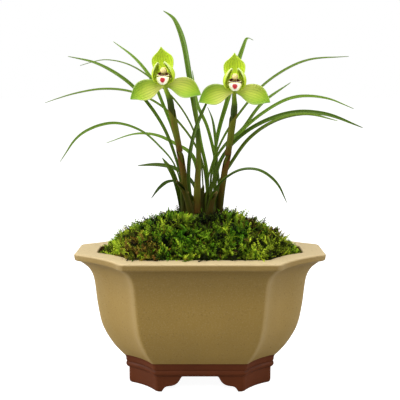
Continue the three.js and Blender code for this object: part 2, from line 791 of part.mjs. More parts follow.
// droop: how many degrees each side sepal hangs below its usual place, left and right.
function flower(side, origin, lean, droop) {
  const holder = new THREE.Group();
  holder.position.copy(at(origin));
  group.add(holder);
  addNode("dorsal_sepal_" + side, petalGeometry(placed(DORSAL, 1, lean)), FINISH.sepal, holder);
  for (const [index, hand, sign] of [[0, "l", -1], [1, "r", 1]]) {
    const sepal = placed(LATERAL, sign, droop[index]);
    addNode(`side_sepal_${hand}_${side}`, petalGeometry(sepal), FINISH.sepal, holder);
    const petal = placed(PETAL, sign, sign * lean);
    addNode(`petal_${hand}_${side}`, petalGeometry(petal), FINISH.sepal, holder);
  }
  addNode("lip_" + side, petalGeometry(LIP), FINISH.lip, holder);
  const column = new THREE.CatmullRomCurve3(COLUMN.map((p) => new THREE.Vector3(...p)));
  const columnRings = stemRings(column, 0, 1, (t) => 2.2 + 0.5 * t);
  addNode("column_" + side, loft(columnRings), FINISH.column, holder);
  const cap = new THREE.SphereGeometry(3, SEGMENTS, 8);
  cap.scale(1, 0.8, 0.75);
  cap.translate(...ANTHER_CAP);
  addNode("anther_cap_" + side, cap, FINISH.lip, holder);
}
flower("left", [-30.1, -14, 112.3], -6, [10, 1]);
flower("right", [29.6, -14, 107], 0, [4, 4]);

export default group;
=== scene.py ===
"""Potted spring orchid: the visual model, laid out as a Blender add-on and run as a script.

Every piece is made in metres in the frame of the packed model, and its place is in its mesh. Each
piece that stands for nodes of the frame takes its size and place from their boxes or rings.
"""

import math
import random

import bpy
import numpy as np
from bpy.props import FloatProperty, FloatVectorProperty, IntProperty, PointerProperty
from mathutils import Matrix, Vector, noise


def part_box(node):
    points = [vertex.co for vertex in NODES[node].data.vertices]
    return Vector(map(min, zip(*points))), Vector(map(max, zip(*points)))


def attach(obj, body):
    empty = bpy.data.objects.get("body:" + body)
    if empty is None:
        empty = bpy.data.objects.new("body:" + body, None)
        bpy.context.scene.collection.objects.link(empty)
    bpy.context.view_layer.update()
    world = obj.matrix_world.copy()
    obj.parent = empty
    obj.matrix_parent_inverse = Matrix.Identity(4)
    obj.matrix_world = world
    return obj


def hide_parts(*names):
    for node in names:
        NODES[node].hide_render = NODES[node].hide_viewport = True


bl_info = {
    "name": "Potted spring orchid",
    "version": (1, 0, 0),
    "blender": (4, 5, 0),
    "location": "3D View > Sidebar > Orchid",
    "description": "Builds a flowering spring orchid in a flared stoneware pot",
    "category": "Add Mesh",
}

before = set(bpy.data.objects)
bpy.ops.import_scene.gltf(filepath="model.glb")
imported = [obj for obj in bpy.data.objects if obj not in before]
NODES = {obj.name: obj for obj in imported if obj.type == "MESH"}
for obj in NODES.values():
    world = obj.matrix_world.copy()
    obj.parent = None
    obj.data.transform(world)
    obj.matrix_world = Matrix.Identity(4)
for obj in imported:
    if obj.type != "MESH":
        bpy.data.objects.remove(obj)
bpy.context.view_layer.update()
MM = 0.001

LEAF_NODES = sorted(n for n in NODES if n.startswith("leaf_"))
BULB_NODES = sorted(n for n in NODES if n.startswith("pseudobulb_"))
SIDES = ("left", "right")
HANDS = {"l": -1, "r": 1}  # the two sides of one flower, and which way each lies along X
CLUMP_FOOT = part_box("moss_carpet")[1].z - 8 * MM  # up to here stems and leaves stand in their shade
CLUMP_OPEN = CLUMP_FOOT + 85 * MM  # and from here they stand free


# ---- Sizes and colours a user would change -----------------------------------------------------


def length(name, description, default_mm):
    """A length property, its default given in millimetres."""
    return FloatProperty(
        name=name, description=description, default=default_mm * MM, unit="LENGTH", precision=4
    )


def number(name, description, default, unit="NONE"):
    """A plain number property."""
    return FloatProperty(name=name, description=description, default=default, unit=unit)


def colour(name, description, default):
    """A colour property."""
    return FloatVectorProperty(
        name=name, description=description, default=default, subtype="COLOR", size=3, min=0, max=1
    )


class OrchidPotSettings(bpy.types.PropertyGroup):
    """Sizes and colours of the stoneware pot."""

    corner_cut: length("Corner cut", "How far each rim corner is cut back along both sides", 43.0)
    corner_hollow: number("Corner hollow", "Bevel profile of a corner cut; 0.25 is straight", 0.17)
    arris: length("Arris rounding", "Rounding of the upright edges at the rim's size", 4.2)
    rim_width: length("Rim width", "Width of the flat top of the rim", 19.5)
    wall: length("Wall", "Thickness of the pot's wall", 8.0)
    floor: length("Floor", "Thickness of the pot's bottom", 8.0)
    drain_hole: length("Drain hole", "Radius of each of the two drain holes", 6.0)
    foot_height: length("Foot height", "Clear height under the pot", 14.0)
    foot_wall: length("Foot wall", "Thickness of the feet", 9.0)
    band_height: length("Band height", "Height of the unglazed moulding above the feet", 12.0)
    glaze: colour("Glaze", "Sand-coloured glaze", (0.29, 0.18, 0.034))
    # painted sheen and highlight: this pale glaze paints the top light's sheen on the rim and the side
    # lights' highlight along the arrises; it also lightens the fine grain
    pale_glaze_and_sheen: colour("Pale glaze", "Glaze where it breaks over the rim", (0.54, 0.425, 0.235))
    clay: colour("Clay", "Unglazed red-brown clay", (0.08, 0.018, 0.0035))


class OrchidMossSettings(bpy.types.PropertyGroup):
    """The moss on the mound."""

    sprigs: IntProperty(name="Sprigs", description="How many small sprigs grow", default=6000, min=100)
    sprig_length: length("Sprig length", "Longest small sprig", 7.0)
    fronds: IntProperty(name="Fronds", description="How many feathery fronds grow", default=2000, min=10)
    frond_length: length("Frond length", "Usual length of one frond", 12.0)
    green: colour("Green", "Fresh moss", (0.12, 0.38, 0.009))
    yellow: colour("Yellow green", "Tips in the light", (0.76, 0.88, 0.05))
    brown: colour("Brown", "Dry patches", (0.13, 0.065, 0.03))


class OrchidLeafSettings(bpy.types.PropertyGroup):
    """The grassy leaves."""

    thickness: length("Thickness", "Thickness of a blade", 0.45)
    shaded_green: colour("Deep green", "Shaded face of a leaf", (0.016, 0.042, 0.001))
    lit_green: colour("Fresh green", "Lit face of a leaf", (0.11, 0.21, 0.004))
    olive: colour("Olive", "Foot of a leaf and older blades", (0.11, 0.15, 0.004))


class OrchidFlowerSettings(bpy.types.PropertyGroup):
    """The two flowers."""

    thickness: length("Thickness", "Thickness of a sepal or of the lip", 0.7)
    lime: colour("Lime", "Middle of a sepal", (0.52, 0.66, 0.035))
    green: colour("Green", "Tips and veins of a sepal", (0.105, 0.27, 0.016))
    cream: colour("Cream", "Lip, anther cap and petal edges", (0.9, 0.86, 0.6))
    crimson: colour("Crimson", "Spot on the lip", (0.45, 0.006, 0.012))


class OrchidStageSettings(bpy.types.PropertyGroup):
    """Camera and light."""

    distance: length("Camera distance", "From the camera to the pot's middle, level", 721.6)
    height: length("Camera height", "Height of the camera above the floor", 258.4)
    pitch: FloatProperty(
        name="Pitch", description="How far the camera looks down", default=0.131, subtype="ANGLE"
    )
    lens: number("Lens", "Focal length", 73.5, "CAMERA")
    floor: colour("Floor", "Pale studio floor", (0.42, 0.42, 0.42))


# ---- Modelling helpers -------------------------------------------------------------------------


def deselect_all():
    """Leaves nothing selected."""
    if bpy.context.object and bpy.context.object.mode != "OBJECT":
        bpy.ops.object.mode_set(mode="OBJECT")
    bpy.ops.object.select_all(action="DESELECT")


def activate(piece):
    """Makes one object the only selected one."""
    deselect_all()
    piece.select_set(True)
    bpy.context.view_layer.objects.active = piece


def edit(piece, select="SELECT"):
    """Opens a piece in edit mode with everything, or nothing, selected."""
    activate(piece)
    bpy.ops.object.mode_set(mode="EDIT")
    bpy.ops.mesh.select_all(action=select)


def close_edit():
    """Back to object mode."""
    bpy.ops.object.mode_set(mode="OBJECT")


def apply_modifier(piece, kind, **settings):
    """Adds a modifier with its settings and applies it."""
    activate(piece)
    modifier = piece.modifiers.new(kind.lower(), kind)
    for key, value in settings.items():
        setattr(modifier, key, value)
    bpy.ops.object.modifier_apply(modifier=modifier.name)


def apply_place(piece):
    """Puts an object's place, turn and size into its mesh."""
    activate(piece)
    bpy.ops.object.transform_apply(location=True, rotation=True, scale=True)


def face_outwards(piece):
    """Recalculates a closed mesh's normals."""
    edit(piece)
    bpy.ops.mesh.normals_make_consistent(inside=False)
    close_edit()


def smooth(piece, degrees=None):
    """Shades a piece smooth, but for edges sharper than an angle."""
    activate(piece)
    if degrees is None:
        bpy.ops.object.shade_smooth()
    else:
        bpy.ops.object.shade_smooth_by_angle(angle=math.radians(degrees))


def copy_of(node, name):
    """A copy of a CAD node's mesh with its loose triangles joined."""
    piece = bpy.data.objects.new(name, NODES[node].data.copy())
    bpy.context.scene.collection.objects.link(piece)
    piece.data.materials.clear()
    edit(piece)
    bpy.ops.mesh.remove_doubles(threshold=1e-6)
    bpy.ops.mesh.customdata_custom_splitnormals_clear()
    close_edit()
    return piece


def mesh_piece(name, points, faces):
    """An object from points and faces."""
    mesh = bpy.data.meshes.new(name)
    mesh.from_pydata([tuple(p) for p in points], [], [tuple(f) for f in faces])
    mesh.update()
    piece = bpy.data.objects.new(name, mesh)
    bpy.context.scene.collection.objects.link(piece)
    return piece


def sheet_piece(name, columns, rows, place, thickness):
    """A thin closed sheet: a grid whose points go where place(u, v) says, then given a thickness.

    u runs across from -1 to 1 and v along from 0 to 1, and both stay in the sheet's UV map.
    """
    deselect_all()
    bpy.ops.mesh.primitive_grid_add(x_subdivisions=columns, y_subdivisions=rows, size=2)
    piece = bpy.context.object
    piece.name = piece.data.name = name
    for vertex in piece.data.vertices:
        vertex.co = place(vertex.co.x, (vertex.co.y + 1) / 2)
    apply_modifier(piece, "SOLIDIFY", thickness=thickness, offset=0)
    face_outwards(piece)
    apply_modifier(piece, "SUBSURF", levels=1, render_levels=1)
    smooth(piece)
    return piece


def hand_over(piece, slot, *nodes, material=None):
    """Sets a finished piece on the frame: puts it on the root body and hides the CAD nodes it stands
    for. slot is not used.
    """
    apply_place(piece)
    if material:
        piece.data.materials.clear()
        piece.data.materials.append(material)
    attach(piece, "root")
    if nodes:
        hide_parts(*nodes)
    return piece


def middle_and_radius(node):
    """The middle of a CAD node's box, and half its length along X."""
    low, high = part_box(node)
    return (low + high) / 2, (high.x - low.x) / 2


def set_number(piece, name, values):
    """Writes one number per point, or the same number everywhere, as an attribute."""
    attribute = piece.data.attributes.new(name, "FLOAT", "POINT")
    count = len(piece.data.vertices)
    attribute.data.foreach_set("value", np.broadcast_to(np.asarray(values, np.float32), count).copy())


def points_of(mesh):
    """A mesh's points as an array."""
    flat = np.empty(len(mesh.vertices) * 3)
    mesh.vertices.foreach_get("co", flat)
    return flat.reshape(-1, 3)


def spline(rows, t):
    """A Catmull-Rom curve through rows of numbers, at a share t of the way."""
    last = len(rows) - 1
    at = min(max(t, 0.0), 1.0) * last
    i = min(int(at), last - 1)
    f = at - i
    a, b, c, d = (np.asarray(rows[min(max(k, 0), last)], float) for k in (i - 1, i, i + 1, i + 2))
    return 0.5 * (
        2 * b + (c - a) * f + (2 * a - 5 * b + 4 * c - d) * f**2 + (3 * b - a - 3 * c + d) * f**3
    )


def unit(vector):
    """An array's direction, with length 1."""
    return vector / max(1e-9, np.linalg.norm(vector))


def rings_of(node, around):
    """The rings of a lofted CAD solid, lowest end first, as an array of [ring, point, xyz].

    A solid whose ends have a middle point has one more point there than around, left out here.
    """
    piece = copy_of(node, "scratch")
    points = points_of(piece.data)
    near = [set() for _ in points]
    for edge in piece.data.edges:
        a, b = edge.vertices
        near[a].add(b)
        near[b].add(a)
    bpy.data.objects.remove(piece)
    capped = len(points) % around == 2
    start = list(np.argsort(points[:, 2])[: around + capped])
    if capped:
        middle = points[start].mean(0)
        start.remove(min(start, key=lambda i: np.linalg.norm(points[i] - middle)))
    rings = [start]
    seen = set(start)
    if capped:
        seen |= {i for i in near[start[0]] if set(start) <= near[i]}
    while True:
        found = {j for i in rings[-1] for j in near[i]} - seen
        if len(found) < around:
            break
        shift = points[list(found)].mean(0) - points[rings[-1]].mean(0)
        following = [
            min(near[i] & found, key=lambda j: np.linalg.norm(points[j] - points[i] - shift))
            for i in rings[-1]
        ]
        rings.append(following)
        seen |= found
    return points[np.array(rings)]


# ---- Material helpers --------------------------------------------------------------------------


class Nodes:
    """Short calls that add and join shader nodes in one tree."""

    def __init__(self, tree):
        self.tree = tree

    def put(self, node, key, value):
        """Links a socket to one of a node's inputs, or sets a plain value there."""
        if isinstance(value, bpy.types.NodeSocket):
            self.tree.links.new(value, node.inputs[key])
        else:
            node.inputs[key].default_value = value

    def add(self, kind, inputs=None, **settings):
        """Adds a node. inputs maps a socket's name or number to a value or to another socket."""
        node = self.tree.nodes.new(kind)
        for key, value in settings.items():
            setattr(node, key, value)
        for key, value in (inputs or {}).items():
            self.put(node, key, value)
        return node

    def math(self, operation, a, b=0.0, c=0.0, clamp=False):
        """One Math node's result."""
        node = self.add("ShaderNodeMath", {0: a, 1: b, 2: c}, operation=operation, use_clamp=clamp)
        return node.outputs[0]

    def mix(self, factor, a, b, blend="MIX"):
        """A colour mixed from two, each a socket or red, green and blue."""
        node = self.add("ShaderNodeMix", {0: factor}, data_type="RGBA", blend_type=blend)
        for key, value in ((6, a), (7, b)):
            linked = isinstance(value, bpy.types.NodeSocket)
            self.put(node, key, value if linked else (*value, 1))
        return node.outputs[2]

    def ramp(self, factor, stops, smooth_steps=False):
        """A Color Ramp's colour. stops are (place, grey or colour)."""
        node = self.add("ShaderNodeValToRGB", {0: factor})
        if smooth_steps:
            node.color_ramp.interpolation = "EASE"
        elements = node.color_ramp.elements
        while len(elements) < len(stops):
            elements.new(0.5)
        for element, (place, value) in zip(elements, stops):
            element.position = place
            element.color = (value, value, value, 1) if isinstance(value, (int, float)) else (*value, 1)
        return node.outputs[0]

    def position(self, scale=(1, 1, 1)):
        """Object coordinates, stretched."""
        texture = self.add("ShaderNodeTexCoord")
        mapping = self.add("ShaderNodeMapping", {0: texture.outputs["Object"], "Scale": scale})
        return mapping.outputs[0]

    def climb(self, low, high):
        """How far up a point is between two heights: 0 at the low one, 1 at the high one."""
        up = self.add("ShaderNodeSeparateXYZ", {0: self.position()}).outputs["Z"]
        return self.math("MULTIPLY_ADD", up, 1 / (high - low), -low / (high - low), clamp=True)

    def noise(self, vector, scale, detail=3.0, roughness=0.55):
        """A noise value, 0 to 1."""
        sockets = {"Vector": vector, "Scale": scale, "Detail": detail, "Roughness": roughness}
        return self.add("ShaderNodeTexNoise", sockets).outputs[0]

    def attribute(self, name):
        """A number stored on the piece's points."""
        return self.add("ShaderNodeAttribute", attribute_name=name).outputs["Fac"]

    def bump(self, height, strength, distance):
        """A normal raised by a height."""
        sockets = {"Height": height, "Strength": strength, "Distance": distance}
        return self.add("ShaderNodeBump", sockets).outputs[0]

    def group(self, tree, inputs):
        """Places a node group and gives its outputs."""
        node = self.add("ShaderNodeGroup")
        node.node_tree = tree
        for key, value in inputs.items():
            self.put(node, key, value)
        return node.outputs


def new_material(name, **principled):
    """A material, its node helper and its Principled shader, with plain values set."""
    material = bpy.data.materials.new(name)
    material.use_nodes = True
    shader = material.node_tree.nodes["Principled BSDF"]
    for key, value in principled.items():
        shader.inputs[key.replace("_", " ")].default_value = value
    return material, Nodes(material.node_tree), shader


def feed(nodes, shader, **sockets):
    """Links sockets to the shader's inputs."""
    for key, value in sockets.items():
        nodes.tree.links.new(value, shader.inputs[key.replace("_", " ")])


def scaled(colour_value, share):
    """A colour made darker or lighter by a share."""
    return tuple(min(1.0, c * share) for c in colour_value)


def new_group(name, inputs, outputs):
    """A shader node group whose sockets are numbers: inputs with their defaults, and outputs."""
    tree = bpy.data.node_groups.new(name, "ShaderNodeTree")
    for key, default in inputs.items():
        socket = tree.interface.new_socket(key, in_out="INPUT", socket_type="NodeSocketFloat")
        socket.default_value = default
    for key in outputs:
        tree.interface.new_socket(key, in_out="OUTPUT", socket_type="NodeSocketFloat")
    nodes = Nodes(tree)
    entry = nodes.add("NodeGroupInput").outputs
    leave = nodes.add("NodeGroupOutput").inputs
    return tree, nodes, entry, leave


def fine_grain_group():
    """Speckle and grain of fired or rough surfaces: fine grain, a mask of specks, and soft clouds."""
    found = bpy.data.node_groups.get("fine grain")
    if found:
        return found
    inputs = {"Scale": 900.0, "Speck Share": 0.3}
    tree, nodes, entry, leave = new_group("fine grain", inputs, ("Grain", "Specks", "Clouds"))
    position = nodes.position()
    grain = nodes.noise(position, entry["Scale"], 4.0, 0.65)
    speck_scale = nodes.math("MULTIPLY", entry["Scale"], 0.5)
    cells = nodes.add("ShaderNodeTexVoronoi", {"Vector": position, "Scale": speck_scale})
    radius = nodes.math("MULTIPLY", entry["Speck Share"], cells.outputs["Color"])
    specks = nodes.math("LESS_THAN", cells.outputs["Distance"], radius)
    cloud_scale = nodes.math("MULTIPLY", entry["Scale"], 0.03)
    clouds = nodes.noise(position, cloud_scale, 3.0, 0.5)
    for key, value in (("Grain", grain), ("Specks", specks), ("Clouds", clouds)):
        tree.links.new(value, leave[key])
    return tree


def long_veins_group():
    """Fine veins that run along a leaf or petal, from its UV map."""
    found = bpy.data.node_groups.get("long veins")
    if found:
        return found
    inputs = {"Count": 14.0, "Wander": 0.03}
    tree, nodes, entry, leave = new_group("long veins", inputs, ("Vein", "Across", "Along"))
    uv = nodes.add("ShaderNodeTexCoord").outputs["UV"]
    parts = nodes.add("ShaderNodeSeparateXYZ", {0: uv})
    across, along = parts.outputs[0], parts.outputs[1]
    shaken = nodes.add("ShaderNodeMapping", {0: uv, "Scale": (9.0, 3.0, 1.0)})
    wobble = nodes.math("SUBTRACT", nodes.noise(shaken.outputs[0], 1.0, 2.0), 0.5)
    moved = nodes.math("MULTIPLY_ADD", wobble, entry["Wander"], across)
    turns = nodes.math("MULTIPLY", moved, entry["Count"])
    wave = nodes.math("SINE", nodes.math("MULTIPLY", turns, 2 * math.pi))
    vein = nodes.math("MULTIPLY_ADD", wave, 0.5, 0.5)
    for key, value in (("Vein", vein), ("Across", across), ("Along", along)):
        tree.links.new(value, leave[key])
    return tree


# ---- Materials ---------------------------------------------------------------------------------


def glaze_material(settings):
    """Satin sand-coloured glaze: fine specks, a few dark pits, and painted shade that darkens it under
    the rim.
    """
    material, nodes, shader = new_material("sand glaze", Roughness=0.5, Specular_IOR_Level=0.25)
    grain = nodes.group(fine_grain_group(), {"Scale": 900.0, "Speck Share": 0.34})
    # painted shade: the wall's glaze is darkened towards the rim, standing in for the shade under the
    # rim's overhang
    climb = nodes.climb(RIM_Z - 44 * MM, RIM_Z - 19 * MM)
    under_rim = nodes.ramp(climb, [(0.0, 0.0), (1.0, 0.75)], True)
    clouded = nodes.mix(grain["Clouds"], scaled(settings.glaze, 0.8), settings.glaze)
    base = nodes.mix(under_rim, clouded, scaled(settings.glaze, 0.72))
    # painted sheen and highlight: the edge attribute lays the pale glaze on the rim top and along the
    # arrises
    pale = nodes.mix(nodes.attribute("edge"), base, settings.pale_glaze_and_sheen)
    light_grain = nodes.ramp(grain["Grain"], [(0.5, 0.0), (0.8, 0.22)])
    grained = nodes.mix(light_grain, pale, settings.pale_glaze_and_sheen)
    specks = nodes.math("MULTIPLY", grain["Specks"], 0.32)
    speckled = nodes.mix(specks, grained, (0.14, 0.085, 0.025))
    cells = nodes.add("ShaderNodeTexVoronoi", {"Vector": nodes.position(), "Scale": 48.0}).outputs
    chance = nodes.add("ShaderNodeSeparateColor", {0: cells["Color"]}).outputs[0]
    few = nodes.ramp(chance, [(0.93, 0.0), (0.94, 0.85)])
    pit = nodes.ramp(cells["Distance"], [(0.02, 1.0), (0.05, 0.0)])
    pitted = nodes.mix(nodes.math("MULTIPLY", few, pit), speckled, (0.06, 0.03, 0.012))
    height = nodes.math("ADD", grain["Grain"], nodes.math("MULTIPLY", grain["Clouds"], 2.0))
    feed(
        nodes,
        shader,
        Base_Color=pitted,
        Normal=nodes.bump(height, 0.25, 0.3 * MM),
        Roughness=nodes.math("MULTIPLY_ADD", grain["Grain"], 0.2, 0.42),
    )
    return material


def clay_material(settings, name="red clay", tint=1.0):
    """Unglazed clay, matt and finely grained."""
    material, nodes, shader = new_material(name, Specular_IOR_Level=0.15)
    grain = nodes.group(fine_grain_group(), {"Scale": 1100.0, "Speck Share": 0.25})
    clay = scaled(settings.clay, tint)
    base = nodes.mix(grain["Clouds"], scaled(clay, 0.85), scaled(clay, 1.4))
    speckled = nodes.mix(nodes.math("MULTIPLY", grain["Specks"], 0.3), base, scaled(clay, 0.4))
    feed(
        nodes,
        shader,
        Base_Color=speckled,
        Normal=nodes.bump(grain["Grain"], 0.35, 0.3 * MM),
        Roughness=nodes.math("MULTIPLY_ADD", grain["Grain"], 0.2, 0.5),
    )
    return material


def rough_material(name, dark, light, scale, bump=0.8):
    """A rough two-tone surface, for potting mix, stones and plastic mesh."""
    material, nodes, shader = new_material(name, Specular_IOR_Level=0.2)
    grain = nodes.group(fine_grain_group(), {"Scale": scale, "Speck Share": 0.4})
    base = nodes.mix(nodes.ramp(grain["Grain"], [(0.35, 0.0), (0.65, 1.0)]), dark, light)
    feed(
        nodes,
        shader,
        Base_Color=base,
        Normal=nodes.bump(grain["Grain"], bump, 0.6 * MM),
        Roughness=nodes.math("MULTIPLY_ADD", grain["Grain"], 0.2, 0.75),
    )
    return material


def moss_material(settings, name="moss", shade=1.0):
    """Moss: greens that fade into painted shade towards each sprig's foot and turn yellow at the tips,
    drifting over the mound, with dry brown patches.
    """
    material, nodes, shader = new_material(name, Roughness=0.6, Specular_IOR_Level=0.08)
    tip = nodes.attribute("tip")
    green, yellow = scaled(settings.green, shade), scaled(settings.yellow, shade)
    # painted shade: each sprig's green falls to a twentieth towards its foot, down in the moss
    lit_green = nodes.mix(nodes.math("POWER", tip, 1.7), scaled(green, 0.05), green)
    # the yellow tips are partly the moss's own yellow green and partly painted highlight
    lit = nodes.mix(nodes.math("MULTIPLY", tip, nodes.attribute("tone")), lit_green, yellow)
    patches = nodes.ramp(nodes.noise(nodes.position(), 34.0), [(0.42, 0.0), (0.66, 0.4)])
    drift = nodes.mix(nodes.math("MULTIPLY", patches, tip), lit, scaled(yellow, 0.7))
    dried = nodes.mix(tip, scaled(settings.brown, 0.3), (0.34, 0.17, 0.025))
    coloured = nodes.mix(nodes.attribute("dry"), drift, dried)
    light = nodes.ramp(nodes.attribute("light"), [(0.0, 0.02), (0.42, 0.26), (0.68, 1.0)])
    feed(nodes, shader, Base_Color=nodes.mix(1.0, coloured, light, "MULTIPLY"))
    return material


def clump_shade(nodes, coloured, least):
    """Darkens stems and leaves towards the moss, where the clump shades itself."""
    shade = nodes.ramp(nodes.climb(CLUMP_FOOT, CLUMP_OPEN), [(0.0, least), (1.0, 1.0)], True)
    return nodes.mix(1.0, coloured, shade, "MULTIPLY")


def feed_veined(nodes, shader, veins, coloured, roughness, relief=0.3, depth=0.1 * MM):
    """Feeds the colour of a leaf or petal, whose veins stand up a little and are duller."""
    feed(
        nodes,
        shader,
        Base_Color=coloured,
        Normal=nodes.bump(veins["Vein"], relief, depth),
        Roughness=nodes.math("MULTIPLY_ADD", veins["Vein"], 0.1, roughness),
    )


def leaf_material(settings):
    """A grassy leaf: olive at its foot, a dark green in painted shade to a lit green in painted light,
    paler towards its tip, with long veins.
    """
    material, nodes, shader = new_material("leaf", Specular_IOR_Level=0.12)
    veins = nodes.group(long_veins_group(), {"Count": 5.0, "Wander": 0.01})
    tone = nodes.attribute("tone")
    # painted light and shade: tone blends each leaf from its shaded green to its lit green
    green = nodes.mix(tone, settings.shaded_green, settings.lit_green)
    foot = nodes.ramp(veins["Along"], [(0.0, 1.0), (0.3, 0.0)])
    aged = nodes.math("MAXIMUM", foot, nodes.attribute("olive"))
    body = nodes.mix(aged, green, settings.olive)
    pale = nodes.ramp(veins["Along"], [(0.35, 0.0), (1.0, 0.45)])
    tipped = nodes.mix(nodes.math("MULTIPLY", pale, tone), body, (0.26, 0.4, 0.07))
    middle = nodes.ramp(veins["Across"], [(0.42, 0.0), (0.5, 0.35), (0.58, 0.0)])
    ribbed = nodes.mix(middle, tipped, (0.13, 0.25, 0.03))
    streak = nodes.math("MULTIPLY", veins["Vein"], 0.42)
    streaked = nodes.mix(streak, ribbed, (0.015, 0.04, 0.002))
    feed_veined(nodes, shader, veins, clump_shade(nodes, streaked, 0.5), 0.36)
    return material


# The colours of stems and sheaths, as (share of the length from the foot, colour).
STEM_COLOURS = {
    "stem": [
        (0.0, (0.08, 0.085, 0.003)),
        (0.55, (0.1, 0.1, 0.004)),
        (0.7, (0.022, 0.04, 0.002)),
        (0.755, (0.03, 0.065, 0.002)),
        (0.79, (0.15, 0.26, 0.006)),
        (0.83, (0.34, 0.48, 0.03)),
    ],
    "bract": [
        (0.0, (0.05, 0.055, 0.002)),
        (0.5, (0.11, 0.1, 0.003)),
        (0.82, (0.12, 0.04, 0.005)),
        (1.0, (0.15, 0.075, 0.012)),
    ],
    "top bract": [
        (0.0, (0.09, 0.035, 0.004)),
        (0.3, (0.1, 0.12, 0.004)),
        (0.8, (0.12, 0.13, 0.006)),
        (1.0, (0.13, 0.075, 0.012)),
    ],
    "shoot": [
        (0.0, (0.14, 0.05, 0.006)),
        (0.2, (0.13, 0.12, 0.005)),
        (0.6, (0.1, 0.13, 0.004)),
        (1.0, (0.03, 0.07, 0.003)),
    ],
    "leaf base": [
        (0.0, (0.1, 0.06, 0.01)),
        (0.3, (0.06, 0.055, 0.003)),
        (0.8, (0.05, 0.075, 0.003)),
        (0.94, (0.1, 0.08, 0.008)),
        (1.0, (0.3, 0.2, 0.06)),
    ],
    "bulb": [(0.0, (0.2, 0.17, 0.06)), (1.0, (0.13, 0.13, 0.035))],
}


def stem_material(name, blotches=0.5):
    """A stem or sheath whose colour changes along its length, with long streaks."""
    material, nodes, shader = new_material(name, Specular_IOR_Level=0.12)
    veins = nodes.group(long_veins_group(), {"Count": 16.0, "Wander": 0.05})
    body = nodes.ramp(veins["Along"], STEM_COLOURS[name])
    drawn_out = nodes.noise(nodes.position((1, 1, 0.3)), 200.0)
    blotch = nodes.ramp(drawn_out, [(0.45, 0.0), (0.7, blotches)])
    blotched = nodes.mix(blotch, body, (0.13, 0.038, 0.006))
    streak = nodes.math("MULTIPLY", veins["Vein"], 0.45)
    streaked = nodes.mix(streak, blotched, (0.02, 0.028, 0.001))
    feed_veined(nodes, shader, veins, clump_shade(nodes, streaked, 0.6), 0.5)
    return material


def petal_shader(name):
    """The material, node helper and shader of a sepal or petal, which let a little light through."""
    return new_material(
        name,
        Specular_IOR_Level=0.15,
        Subsurface_Weight=0.12,
        Subsurface_Radius=(3 * MM, 4 * MM, 1 * MM),
    )


def sepal_material(settings, name, tip_green, pale_edge, blush, light=1.0):
    """A sepal: lime with a green tip, green veins, a pale edge and a faint rosy foot; light brightens
    the lime as painted light.
    """
    material, nodes, shader = petal_shader(name)
    veins = nodes.group(long_veins_group(), {"Count": 8.0, "Wander": 0.06})
    # painted light: a light share above 1 makes a brighter, lit copy of the lime
    lime = scaled(settings.lime, light)
    clouds = nodes.noise(nodes.position(), 120.0)
    base = nodes.mix(clouds, scaled(lime, 0.86), scaled(lime, 1.12))
    tip_stops = [(0.45, 0.0), (0.8, tip_green * 0.6), (1.0, tip_green)]
    tipped = nodes.mix(nodes.ramp(veins["Along"], tip_stops), base, settings.green)
    high_side = nodes.ramp(veins["Across"], [(0.5, 0.0), (1.0, tip_green * 0.8)])
    upper = nodes.math("MULTIPLY", high_side, nodes.attribute("side"))
    shaded = nodes.mix(upper, tipped, settings.green)
    foot = nodes.ramp(veins["Along"], [(0.0, blush), (0.45, blush * 0.7), (0.75, 0.0)])
    low_side = nodes.ramp(veins["Across"], [(0.2, 1.0), (0.75, 0.25)])
    rosy = nodes.mix(nodes.math("MULTIPLY", foot, low_side), shaded, (0.74, 0.64, 0.27))
    vein = nodes.ramp(veins["Vein"], [(0.72, 0.0), (1.0, 0.34)])
    veined = nodes.mix(vein, rosy, settings.green)
    off_middle = nodes.math("ABSOLUTE", nodes.math("MULTIPLY_ADD", veins["Across"], 2.0, -1.0))
    edge = nodes.ramp(off_middle, [(0.82, 0.0), (1.0, pale_edge)])
    edged = nodes.mix(edge, veined, (0.8, 0.82, 0.45))
    feed_veined(nodes, shader, veins, edged, 0.4, 0.35, 0.12 * MM)
    return material


def petal_material(settings):
    """A hooding petal: lime outside, creamy towards its tip and along its front edge."""
    material, nodes, shader = petal_shader("petal")
    veins = nodes.group(long_veins_group(), {"Count": 6.0, "Wander": 0.06})
    vein = nodes.ramp(veins["Vein"], [(0.7, 0.0), (1.0, 0.4)])
    veined = nodes.mix(vein, settings.lime, settings.green)
    cream = nodes.ramp(veins["Along"], [(0.86, 0.0), (0.99, 0.6)])
    creamed = nodes.mix(cream, veined, (0.78, 0.84, 0.46))
    off_middle = nodes.math("SUBTRACT", veins["Across"], 0.5)
    forward = nodes.math("MULTIPLY_ADD", off_middle, nodes.attribute("hand"), 0.5)
    front = nodes.ramp(forward, [(0.62, 0.0), (0.9, 1.0)])
    near_tip = nodes.ramp(veins["Along"], [(0.6, 0.0), (0.82, 0.9)])
    edged = nodes.mix(nodes.math("MULTIPLY", front, near_tip), creamed, (0.56, 0.66, 0.27))
    feed_veined(nodes, shader, veins, edged, 0.42)
    return material


def oval(nodes, uv, centre, radii):
    """A mask that is 1 inside a rough-edged oval on the UV map."""
    place = (-centre[0] / radii[0], -centre[1] / radii[1], 0)
    scale = (1 / radii[0], 1 / radii[1], 1)
    moved = nodes.add("ShaderNodeMapping", {0: uv, "Location": place, "Scale": scale}).outputs[0]
    away = nodes.add("ShaderNodeVectorMath", {0: moved}, operation="LENGTH").outputs["Value"]
    rough = nodes.math("SUBTRACT", nodes.noise(uv, 9.0, 2.0), 0.5)
    edge = nodes.math("MULTIPLY_ADD", rough, 0.5, away)
    return nodes.ramp(edge, [(0.7, 1.0), (1.0, 0.0)])


